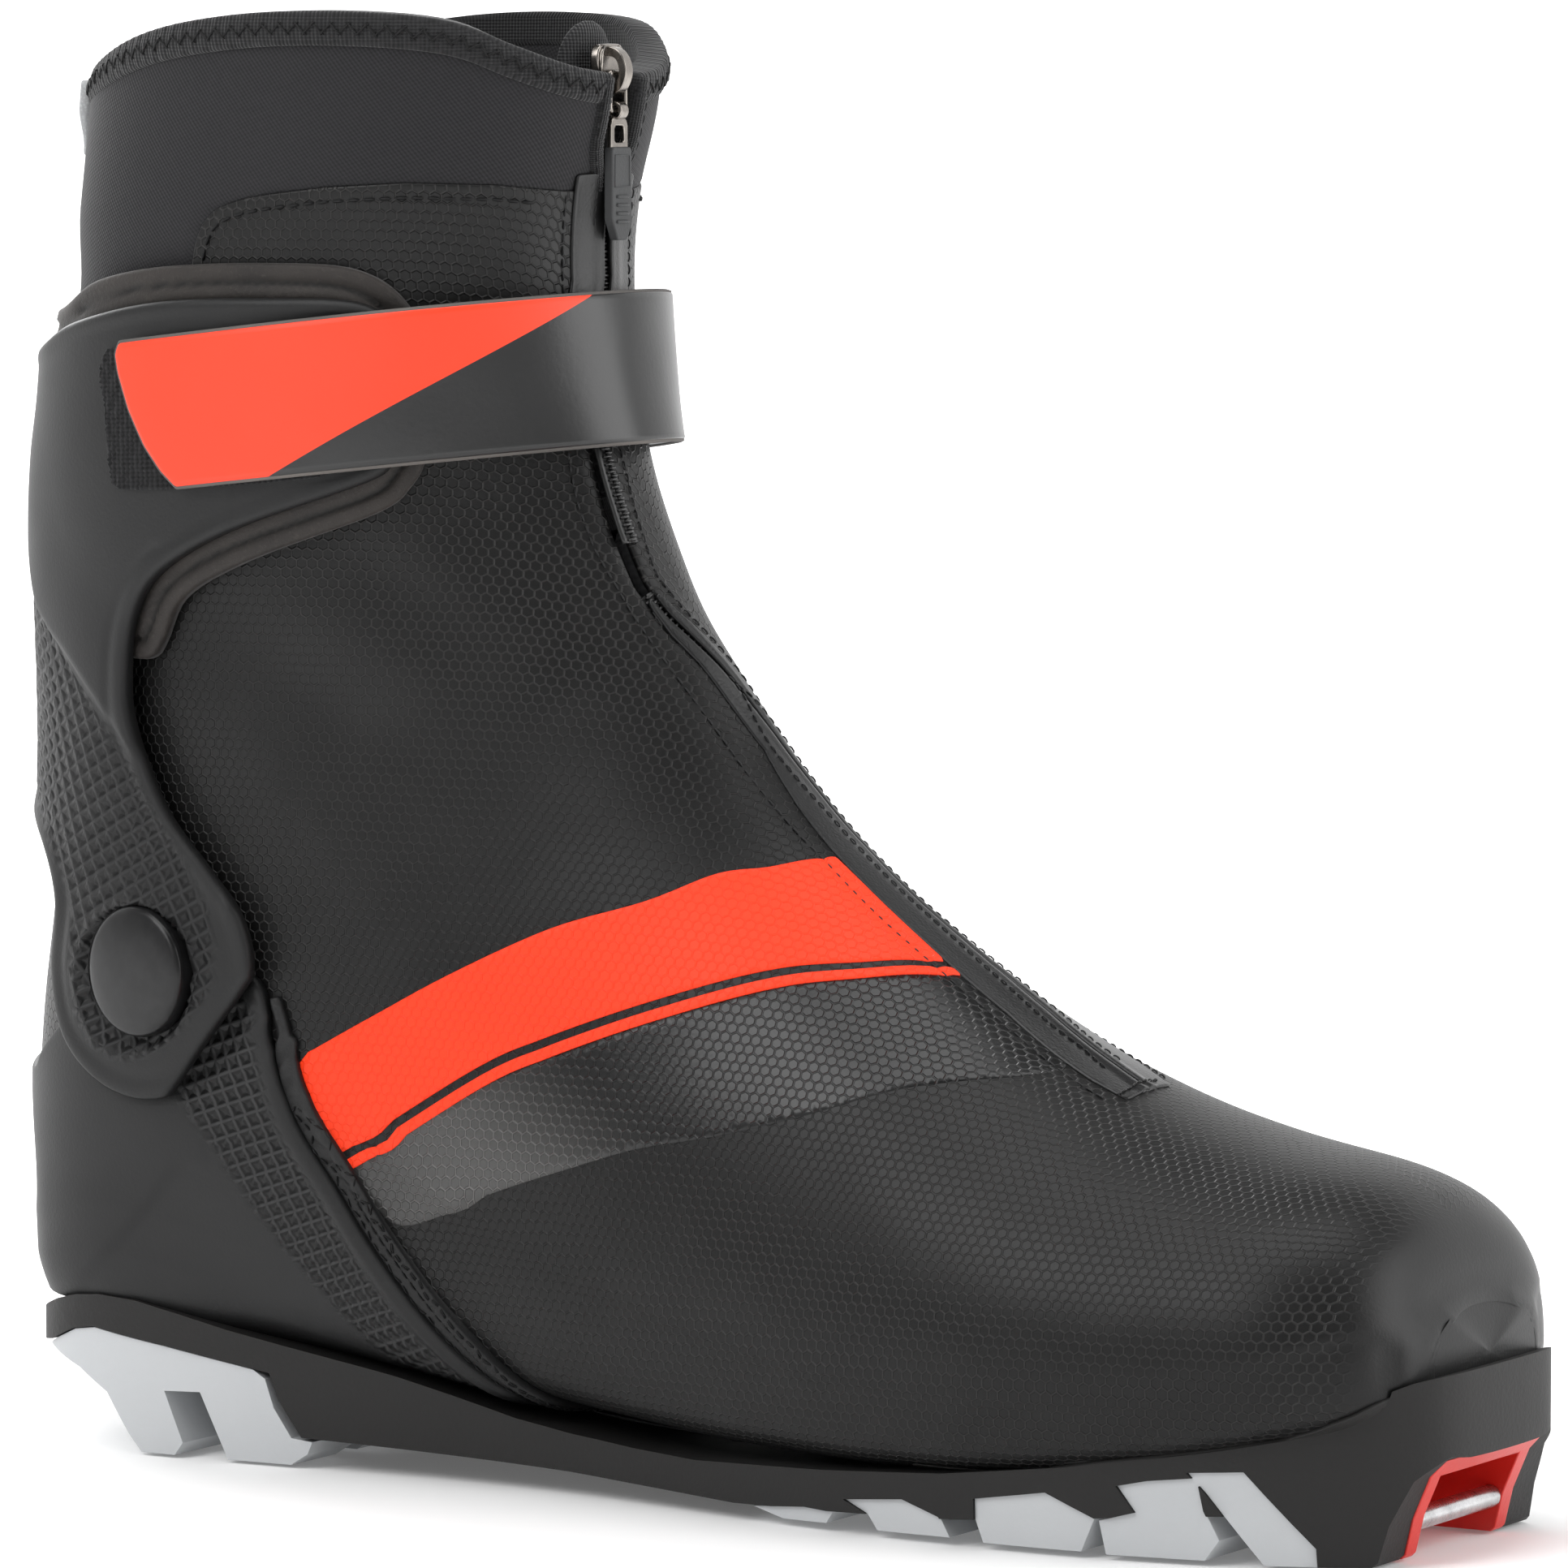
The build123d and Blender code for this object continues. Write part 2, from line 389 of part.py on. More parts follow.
def ring(dz, off_side, off_front, n=36):
    """Closed ring where the strap's slanted plane meets the leg, pushed out sideways."""
    f = _DENSE[..., 2] - (STRAP_C + dz + STRAP_SLOPE * (_DENSE[..., 0] - 60))
    pts = []
    for j in range(f.shape[1]):
        i = np.where((f[:-1, j] <= 0) & (f[1:, j] > 0))[0]
        if len(i):
            i = i[-1]
            w = -f[i, j] / (f[i + 1, j] - f[i, j])
            pts.append(_DENSE[i, j] * (1 - w) + _DENSE[i + 1, j] * w)
    pts = np.array(pts)
    c = np.array([62.0, 0.0])
    ang = np.arctan2(pts[:, 1] - c[1], pts[:, 0] - c[0])
    order = np.argsort(ang)
    ang, pts = ang[order], pts[order]
    P = pts[:, :2]
    T = np.roll(P, -1, 0) - np.roll(P, 1, 0)
    N = np.stack([T[:, 1], -T[:, 0]], 1)
    N /= np.linalg.norm(N, axis=1, keepdims=True)
    N[(N * (P - c)).sum(1) < 0] *= -1
    front_w = np.clip((P[:, 0] - 92) / 24, 0, 1)
    front_w = front_w * front_w * (3 - 2 * front_w)
    off = off_side * (1 - front_w) + off_front * front_w
    Q = P + N * off[:, None]
    grid = np.linspace(-np.pi, np.pi, n, endpoint=False)
    a2 = np.arctan2(Q[:, 1] - c[1], Q[:, 0] - c[0])
    o = np.argsort(a2)
    a2, Q = a2[o], Q[o]
    qx = np.interp(grid, a2, Q[:, 0], period=2 * np.pi)
    qy = np.interp(grid, a2, Q[:, 1], period=2 * np.pi)
    return [Vector(x, y, STRAP_C + dz + STRAP_SLOPE * (x - 60)) for x, y in zip(qx, qy)]


def strap_tube(a, b, lo=-17.0, hi=17.0):
    ws = [closed(ring(d, a, b)) for d in (lo, (lo + hi) / 2, hi)]
    return Solid.make_loft(ws)


HALF_W = 13.6
full = strap_tube(STRAP_SIDE + STRAP_T, STRAP_FRONT + STRAP_T) - strap_tube(STRAP_SIDE, STRAP_FRONT)
band = prism([(20, STRAP_C - 40 * STRAP_SLOPE - HALF_W), (150, STRAP_C + 90 * STRAP_SLOPE - HALF_W), (150, STRAP_C + 90 * STRAP_SLOPE + HALF_W), (20, STRAP_C - 40 * STRAP_SLOPE + HALF_W)], -80, 80)
full = full & band
HINGE = (97.0, 42.0)    # where the strap leaves the medial wing
end_shape = prism([(43.0, 210), (43.2, 196), (47.0, 187), (54.0, 180.0), (60, 172), (160, 172), (160, 240), (43.0, 240)], -80, 5)
keep("strap", (full & (end_shape + box(HINGE[0], 160, -5, 80, 100, 260))))
keep("strap_anchor", full & box(52, HINGE[0] - 0.6, 5, 80, 100, 260))
riv = []
for x, z in ((60, 185.5), (60, 198.0), (74, 192.8)):
    riv.append(cyl_y(x, z, 2.2, 40.0, 60.0))
rivets = Compound(riv)
skin_in = body(3.2)
rv = [(r & (strap_tube(STRAP_SIDE + STRAP_T + 1.0, STRAP_FRONT + STRAP_T + 1.0) - skin_in)) for r in riv]
keep("strap_rivets", Compound([s for r in rv for s in r.solids()]))
for n in ("strap_anchor", "cuff_shell"):
    s = parts[n]
    for x, z in ((60, 185.5), (60, 198.0), (74, 192.8)):
        s = s - cyl_y(x, z, 2.25, 40.0, 60.0)
    keep(n, s)

# ---- pivots -------------------------------------------------------------------
for side_name, sgn in (("lateral", -1), ("medial", 1)):
    y0, y1 = (-60, -30) if sgn < 0 else (30, 60)
    pin = cyl_y(PIVOT[0], PIVOT[2], PIN_R, y0, y1) & (body(5.6) - body(0.35))
    keep("pivot_pin_" + side_name, pin)
    cap = cyl_y(PIVOT[0], PIVOT[2], CAP_R, y0, y1) & (body(7.4) - body(6.1))
    keep("pivot_cap_" + side_name, cap)

# ---- heel pull tab on the collar ------------------------------------------------
keep("pull_tab", (shell(0.55, 1.9) & box(-20, 40, -8, 8, 236.5, 256)) & rim(-0.8))

os.makedirs("parts", exist_ok=True)
for f in os.listdir("parts"):
    if f.endswith(".step"):
        os.remove(os.path.join("parts", f))
lo, hi = [1e9] * 3, [-1e9] * 3
for name, shape in parts.items():
    moved = shape.moved(Location((-ORIGIN[0], -ORIGIN[1], -ORIGIN[2])))
    export_step(moved, f"parts/{name}.step")
    b = moved.bounding_box()
    for i in range(3):
        lo[i], hi[i] = min(lo[i], tuple(b.min)[i]), max(hi[i], tuple(b.max)[i])
print("nodes", len(parts), "low", [round(v, 2) for v in lo], "high", [round(v, 2) for v in hi])
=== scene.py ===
import bpy, bmesh, math, json
import numpy as np
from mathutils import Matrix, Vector


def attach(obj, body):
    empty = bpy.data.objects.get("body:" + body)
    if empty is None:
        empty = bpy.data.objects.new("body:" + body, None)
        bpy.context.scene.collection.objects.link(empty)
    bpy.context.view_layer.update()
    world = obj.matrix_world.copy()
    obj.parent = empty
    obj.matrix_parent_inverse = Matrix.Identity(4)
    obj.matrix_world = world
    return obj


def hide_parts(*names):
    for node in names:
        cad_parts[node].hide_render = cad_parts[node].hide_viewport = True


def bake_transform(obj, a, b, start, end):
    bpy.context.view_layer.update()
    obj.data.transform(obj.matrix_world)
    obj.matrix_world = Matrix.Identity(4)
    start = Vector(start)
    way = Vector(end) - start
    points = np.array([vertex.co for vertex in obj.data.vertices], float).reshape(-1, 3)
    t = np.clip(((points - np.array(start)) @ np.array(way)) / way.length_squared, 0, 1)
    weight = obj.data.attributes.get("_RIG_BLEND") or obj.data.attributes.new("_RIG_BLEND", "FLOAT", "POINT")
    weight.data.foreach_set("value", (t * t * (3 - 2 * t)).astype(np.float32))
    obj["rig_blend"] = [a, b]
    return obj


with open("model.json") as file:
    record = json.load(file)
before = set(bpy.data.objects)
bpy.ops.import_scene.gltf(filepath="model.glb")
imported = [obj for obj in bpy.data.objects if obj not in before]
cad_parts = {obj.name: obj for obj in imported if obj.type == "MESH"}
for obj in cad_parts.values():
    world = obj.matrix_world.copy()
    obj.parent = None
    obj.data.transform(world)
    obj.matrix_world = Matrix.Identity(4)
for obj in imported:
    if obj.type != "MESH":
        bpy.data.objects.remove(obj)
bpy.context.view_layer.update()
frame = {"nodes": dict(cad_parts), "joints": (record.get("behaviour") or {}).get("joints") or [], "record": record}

R = math.radians
pi = math.pi

# ------------------------------------------------------------------ frame
# Shapes are worked out in millimetres with the ankle hinge at (45, 0, 90), then moved to the row frame through the hinge's own place.
_j = [j for j in frame["joints"] if j["name"] == "ankle_flex"][0]
OX, OY, OZ = 45 - _j["pos_m"][0] * 1000, 0 - _j["pos_m"][1] * 1000, 90 - _j["pos_m"][2] * 1000


def row(P):
    return (np.asarray(P, float) - np.array([OX, OY, OZ])) / 1000.0


# ------------------------------------------------------------------ the boot's body surface
ST = np.array([
 [293.0, 26, 292.5, 42, 19,19, 2, .375, 2.2,2.2],
 [291.5, 24.5, 290.5, 52, 29,29, 2, .32, 2.3,2.8],
 [286.5, 22.5, 285.0, 59, 37,38, 2, .277, 2.3,3.5],
 [277.5, 20.5, 276.0, 63.5, 43,43, 2, .249, 2.3,4.0],
 [262.0, 17, 260.0, 67, 47,47, 2, .263, 2.2,4.5],
 [240.0, 13, 240.0, 72, 50,49, 2, .276, 2.1,4.5],
 [210.0, 10, 213.0, 83, 50,48, 1, .28, 2.0,4.5],
 [178.0, 10, 190.0, 97.5, 46,45, 0, .27, 1.9,4.5],
 [145.0, 12, 169.0,113.5, 42,42, 0, .28, 1.9,4.2],
 [110.0, 16, 153.5,130, 39,40, 0, .30, 1.95,4.0],
 [ 75.0, 21, 143.0,145, 38,39, 0, .34, 2.0,3.8],
 [ 38.0, 25, 134.5,157.5, 38.5,39.5, 0, .40, 2.0,3.2],
 [ 10.0, 33, 128.5,169.5, 39,40, 0, .44, 2.05,2.6],
 [  0.5, 58, 123.5,181.5, 39,40, 0, .46, 2.1,2.3],
 [  3.0, 90, 120.0,193, 39,40, 0, .47, 2.15,2.2],
 [  5.0,125, 118.0,205, 39,40, 0, .48, 2.2,2.1],
 [  5.0,165, 117.0,219, 39.5,40, 0, .50, 2.25,2.15],
 [  8.5,205, 118.0,233, 40,40, 0, .50, 2.3,2.2],
 [ 14.0,250, 122.0,250, 41,41, 0, .50, 2.3,2.2],
 [ 15.0,278, 124.5,278, 41.5,41.5, 0, .50, 2.3,2.2],
])
_d = np.linalg.norm(np.diff(ST[:, 0:2], axis=0), axis=1) * .5 + np.linalg.norm(np.diff(ST[:, 2:4], axis=0), axis=1) * .5
K = np.concatenate([[0], np.cumsum(_d)])
_n = len(K)
_h = np.diff(K)
_A = np.zeros((_n, _n)); _R = np.zeros(ST.shape)
_A[0, 0] = _A[-1, -1] = 1
for _i in range(1, _n - 1):
    _A[_i, _i - 1], _A[_i, _i], _A[_i, _i + 1] = _h[_i - 1], 2 * (_h[_i - 1] + _h[_i]), _h[_i]
    _R[_i] = 6 * ((ST[_i + 1] - ST[_i]) / _h[_i] - (ST[_i] - ST[_i - 1]) / _h[_i - 1])
_M = np.linalg.solve(_A, _R)


def station(t):
    t = np.clip(t, 0, K[-1])
    k = np.clip(np.searchsorted(K, t, side="right") - 1, 0, _n - 2)
    a, b, hk = (K[k + 1] - t)[..., None], (t - K[k])[..., None], _h[k][..., None]
    return _M[k] * a ** 3 / (6 * hk) + _M[k + 1] * b ** 3 / (6 * hk) + (ST[k] / hk - _M[k] * hk / 6) * a + (ST[k + 1] / hk - _M[k + 1] * hk / 6) * b


def S(t, th, off=0.0):
    """Point of the body surface at station t (mm from the toe) and angle th, moved out by off."""
    t, th, off = np.broadcast_arrays(np.asarray(t, float), np.asarray(th, float), np.asarray(off, float))
    p = station(t)
    B, F = p[..., 0:2], p[..., 2:4]
    e = (F - B) / (np.linalg.norm(F - B, axis=-1, keepdims=True) + 1e-9)
    k = off * np.clip(1 - t / 42.0, 0, 1)
    kk = np.stack([k, 0 * k], -1)
    B = B - e * off[..., None] + kk
    F = F + e * off[..., None] + kk
    c, s = np.cos(th), np.sin(th)
    n = np.where(s >= 0, p[..., 8], p[..., 9])
    cc, ss = np.sign(c) * np.abs(c) ** (2 / n), np.sign(s) * np.abs(s) ** (2 / n)
    Wd = np.where(c >= 0, p[..., 5], p[..., 4]) + off
    sw = p[..., 7]
    hh = np.where(ss >= 0, sw + (1 - sw) * ss, sw + sw * ss)
    xz = B + (F - B) * hh[..., None]
    return np.stack([xz[..., 0], p[..., 6] + Wd * cc, xz[..., 1]], -1)


def N(t, th, off=0.0):
    e = 0.01
    a = S(t, np.asarray(th) + e, off) - S(t, np.asarray(th) - e, off)
    b = S(np.asarray(t) + .5, th, off) - S(np.asarray(t) - .5, th, off)
    n = np.cross(a, b)
    n /= np.linalg.norm(n, axis=-1, keepdims=True) + 1e-12
    return n


_s = 1.0 if (N(300.0, pi, 0.0)[1] < 0) else -1.0
_N0 = N


def N(t, th, off=0.0):
    return _s * _N0(t, th, off)


# outline of the sole in plan, and how the body above it is drawn out to meet it at the heel
_half = [(1.0, 0), (2.8, 11.5), (7.5, 21), (15.5, 28.3), (28, 32.6), (45, 33.5), (70, 32.5), (100, 32), (130, 33.5), (160, 38.5), (190, 43.5), (215, 45.5), (238, 45),
         (255, 42.5), (270, 38.5), (282, 33.5), (291, 28), (297.5, 21), (299.8, 12), (300.3, 0)]
_so = _half + [(x, -y * (1.0 if x < 100 else 0.985)) for x, y in _half[-2:0:-1]]
_so = [(x, y + (0.5 if 60 < x < 270 else 0.0)) for x, y in _so]


def _loop_spline(pts, n=6):
    P = np.array(pts, float); m = len(P); out = []
    for i in range(m):
        a, b, c, d = P[i - 1], P[i], P[(i + 1) % m], P[(i + 2) % m]
        for k in range(n):
            u = k / n
            out.append(0.5 * ((2 * b) + (-a + c) * u + (2 * a - 5 * b + 4 * c - d) * u * u + (-a + 3 * b - 3 * c + d) * u ** 3))
    return np.array(out)


SOLE_PLAN = _loop_spline(_so)
_SOLE_X = (-8, 3, 8.2, 15.4, 21, 27.5, 36.2, 45.3, 56.5, 68.3, 80, 92, 104.5, 118, 130, 145, 159, 188, 213, 237, 252, 268, 276, 285, 294, 303)
_SOLE_Z = (20.5, 22.2, 23.8, 26.3, 27.7, 28.4, 28.0, 26.3, 23.9, 21.8, 19.9, 17.9, 15.3, 12.4, 10.8, 9.6, 9.0, 10.3, 12.0, 15.0, 17.4, 20.8, 23.6, 27.3, 31.3, 33.5)


def _nearest_plan(q):
    A, B = SOLE_PLAN, np.roll(SOLE_PLAN, -1, 0)
    e = B - A; L = (e * e).sum(1) + 1e-12
    best = np.full(len(q), 1e9); near = np.zeros_like(q)
    for s_ in range(0, len(q), 8000):
        g = q[s_:s_ + 8000]
        uu = np.clip(((g[:, None] - A[None]) * e[None]).sum(2) / L[None], 0, 1)
        c = A[None] + uu[..., None] * e[None]
        dd = np.linalg.norm(g[:, None] - c, axis=2)
        k = dd.argmin(1); r = np.arange(len(g))
        best[s_:s_ + 8000] = dd[r, k]; near[s_:s_ + 8000] = c[r, k]
    inside = np.zeros(len(q), bool)
    for a, b in zip(A, B):
        inside ^= ((a[1] > q[:, 1]) != (b[1] > q[:, 1])) & (q[:, 0] < (b[0] - a[0]) * (q[:, 1] - a[1]) / (b[1] - a[1] + 1e-12) + a[0])
    return np.where(inside, best, -best), near


# wanted distance of the moulded cup outside the sole's outline, by height above the sole's top line
_SK_H, _SK_D = (-6, 0, 4, 10, 19, 30, 60), (-.5, -.25, .9, 2.3, 3.6, 3.6, 3.6)


def seat(P):
    """Sideways move, in mm, that carries the lower heel out to the sole's edge. P is the place on the body's own surface."""
    sh = P.shape[:-1]
    P = np.asarray(P, float).reshape(-1, 3)
    D = np.zeros_like(P)
    zf = np.interp(P[:, 0], _SOLE_X, _SOLE_Z)
    hgt = P[:, 2] - zf
    w = 1 - np.clip((hgt - 6) / 34, 0, 1); w = w * w * (3 - 2 * w)
    k = 1 - np.clip((P[:, 0] - 30) / 70, 0, 1); w = w * k * k * (3 - 2 * k)
    # the toe's lower edge follows the sole's outline as well
    k2 = np.clip((P[:, 0] - 215) / 30, 0, 1); w2 = 1 - np.clip((hgt - 1.5) / 12, 0, 1)
    w2 = w2 * w2 * (3 - 2 * w2) * k2 * k2 * (3 - 2 * k2)
    m2 = (w2 > 1e-3) & (hgt > -9)
    if m2.any():
        o, near = _nearest_plan(P[m2][:, :2])
        amt = np.clip((o - .7) * w2[m2], -.4, 1.6) * np.clip((16 - o) / 8, 0, 1)
        dv = (near - P[m2][:, :2]) * np.sign(o)[:, None] / (np.abs(o)[:, None] + 1e-9)
        D[m2, :2] = dv * amt[:, None]
    m = (w > 1e-3) & (hgt > -14)
    if m.any():
        o, near = _nearest_plan(P[m][:, :2])
        want = -(np.interp(hgt[m], _SK_H, _SK_D) - 2.4)      # inside distance of the body, under a cup 2.4 thick
        amt = np.clip((o - want) * w[m], -1.0, 13.0) * np.clip((30 - o) / 12, 0, 1)
        dv = (near - P[m][:, :2]) * np.sign(o)[:, None] / (np.abs(o)[:, None] + 1e-9)
        D[m, :2] = dv * amt[:, None]
    return D.reshape(sh + (3,))


# unfolded millimetre coordinates of each side, for weaves
_ut = np.linspace(0, K[-1], 220); _uth = np.linspace(-pi / 2, 1.5 * pi, 241)
_G = S(_ut[:, None], _uth[None, :])
_seg = np.linalg.norm(np.diff(_G, axis=1), axis=2)
_arc = np.concatenate([np.zeros((len(_ut), 1)), np.cumsum(_seg, 1)], 1)


def unfold(t, th, medial):
    """Side-plane place of a point, with the true arc beyond the widest line, in mm."""
    th = np.mod(np.asarray(th, float) + pi / 2, 2 * pi) - pi / 2
    th = np.where((~medial) & (th < -pi / 2 + 1e-3), th + 2 * pi, th)
    ti = np.clip(np.asarray(t, float) / (K[-1] / (len(_ut) - 1)), 0, len(_ut) - 1.001); i = ti.astype(int); f = ti - i
    tj = np.clip((th + pi / 2) / (2 * pi / 240), 0, 239.999); j = tj.astype(int); g = tj - j
    a = (_arc[i, j] * (1 - g) + _arc[i, j + 1] * g) * (1 - f) + (_arc[i + 1, j] * (1 - g) + _arc[i + 1, j + 1] * g) * f
    jm = np.where(medial, 60, 180)
    a0 = _arc[i, jm] * (1 - f) + _arc[i + 1, jm] * f
    p = station(np.asarray(t, float))
    B, F = p[..., 0:2], p[..., 2:4]
    e = (F - B) / (np.linalg.norm(F - B, axis=-1, keepdims=True) + 1e-9)
    base = B + (F - B) * p[..., 7:8]
    s = np.where(medial, a - a0, a0 - a)
    return base + e * s[..., None]


# ------------------------------------------------------------------ outlines
def smooth_poly(pts, n=8, closed=True):
    """Catmull-Rom through points."""
    P = np.array(pts, float)
    m = len(P)
    out = []
    rng = range(m) if closed else range(m - 1)
    for i in rng:
        if closed:
            a, b, c, d = P[(i - 1) % m], P[i], P[(i + 1) % m], P[(i + 2) % m]
        else:
            a, b, c, d = P[max(i - 1, 0)], P[i], P[i + 1], P[min(i + 2, m - 1)]
        for k in range(n):
            u = k / n
            out.append(0.5 * ((2 * b) + (-a + c) * u + (2 * a - 5 * b + 4 * c - d) * u * u + (-a + 3 * b - 3 * c + d) * u ** 3))
    if not closed:
        out.append(P[-1])
    return np.array(out)


def seg_dist(P, A, B):
    """Distance of points (n,2) to segments A->B (m,2), and the nearest segment's index and share."""
    best = np.full(len(P), 1e9); bi = np.zeros(len(P), int); bu = np.zeros(len(P))
    d = B - A; L = (d * d).sum(1) + 1e-12
    for s in range(0, len(P), 20000):
        q = P[s:s + 20000]
        w = q[:, None, :] - A[None]
        u = np.clip((w * d[None]).sum(2) / L[None], 0, 1)
        r = w - u[..., None] * d[None]
        D = (r * r).sum(2)
        k = D.argmin(1)
        best[s:s + 20000] = np.sqrt(D[np.arange(len(q)), k]); bi[s:s + 20000] = k; bu[s:s + 20000] = u[np.arange(len(q)), k]
    return best, bi, bu


def poly_sdf(P, poly):
    """Signed distance of (...,2) points to a closed outline, positive inside."""
    sh = P.shape[:-1]
    q = P.reshape(-1, 2)
    A = np.asarray(poly, float); B = np.roll(A, -1, 0)
    d, _, _ = seg_dist(q, A, B)
    inside = np.zeros(len(q), bool)
    for a, b in zip(A, B):
        c = ((a[1] > q[:, 1]) != (b[1] > q[:, 1])) & (q[:, 0] < (b[0] - a[0]) * (q[:, 1] - a[1]) / (b[1] - a[1] + 1e-12) + a[0])
        inside ^= c
    return np.where(inside, d, -d).reshape(sh)


def line_dist(P, line):
    """Unsigned distance to an open line, with the signed side (left positive)."""
    sh = P.shape[:-1]
    q = P.reshape(-1, 2)
    A = np.asarray(line, float)[:-1]; B = np.asarray(line, float)[1:]
    d, k, u = seg_dist(q, A, B)
    w = q - A[k]; e = B[k] - A[k]
    side = np.sign(e[:, 0] * w[:, 1] - e[:, 1] * w[:, 0])
    return (d * side).reshape(sh), ((k + u) / len(A)).reshape(sh)


def sst(x, a, b):
    u = np.clip((np.asarray(x, float) - a) / (b - a), 0, 1)
    return u * u * (3 - 2 * u)


# ------------------------------------------------------------------ value noise, seeded
_rng = np.random.RandomState(7)
_lat = _rng.rand(64, 64)


def noise2(u, v):
    u, v = np.asarray(u, float), np.asarray(v, float)
    i, j = np.floor(u).astype(int), np.floor(v).astype(int)
    f, g = u - i, v - j
    f, g = f * f * (3 - 2 * f), g * g * (3 - 2 * g)
    L = lambda a, b: _lat[a % 64, b % 64]
    return (L(i, j) * (1 - f) + L(i + 1, j) * f) * (1 - g) + (L(i, j + 1) * (1 - f) + L(i + 1, j + 1) * f) * g - .5


# ------------------------------------------------------------------ mesh helpers
ALL = []


def new_object(name, verts_mm, faces, mat=None, smooth=True, uvs=None, attrs=None):
    me = bpy.data.meshes.new(name)
    V = row(verts_mm)
    me.from_pydata([tuple(v) for v in V], [], [tuple(int(x) for x in f) for f in faces])
    me.validate(verbose=False)
    if uvs is not None:
        lay = me.uv_layers.new(name="mm")
        nl = len(me.loops)
        vi = np.zeros(nl, np.int32); me.loops.foreach_get("vertex_index", vi)
        if callable(uvs):
            arr = uvs(me, vi)
        else:
            arr = np.asarray(uvs)[vi]
        lay.data.foreach_set("uv", np.ascontiguousarray(arr, np.float32).ravel())
    for k, a in (attrs or {}).items():
        at = me.attributes.new(k, "FLOAT", "POINT")
        at.data.foreach_set("value", np.ascontiguousarray(a, np.float32))
    if smooth:
        me.polygons.foreach_set("use_smooth", np.ones(len(me.polygons), bool))
    me.update()
    o = bpy.data.objects.new(name, me)
    bpy.context.scene.collection.objects.link(o)
    if mat is not None:
        me.materials.append(mat)
    ALL.append(o)
    return o


def quarter(r, n=4):
    """Rounded rim: how far out and how far down, for each ring."""
    return [(r * math.sin(a), r * (1 - math.cos(a))) for a in np.linspace(0, pi / 2, n + 1)[1:]]


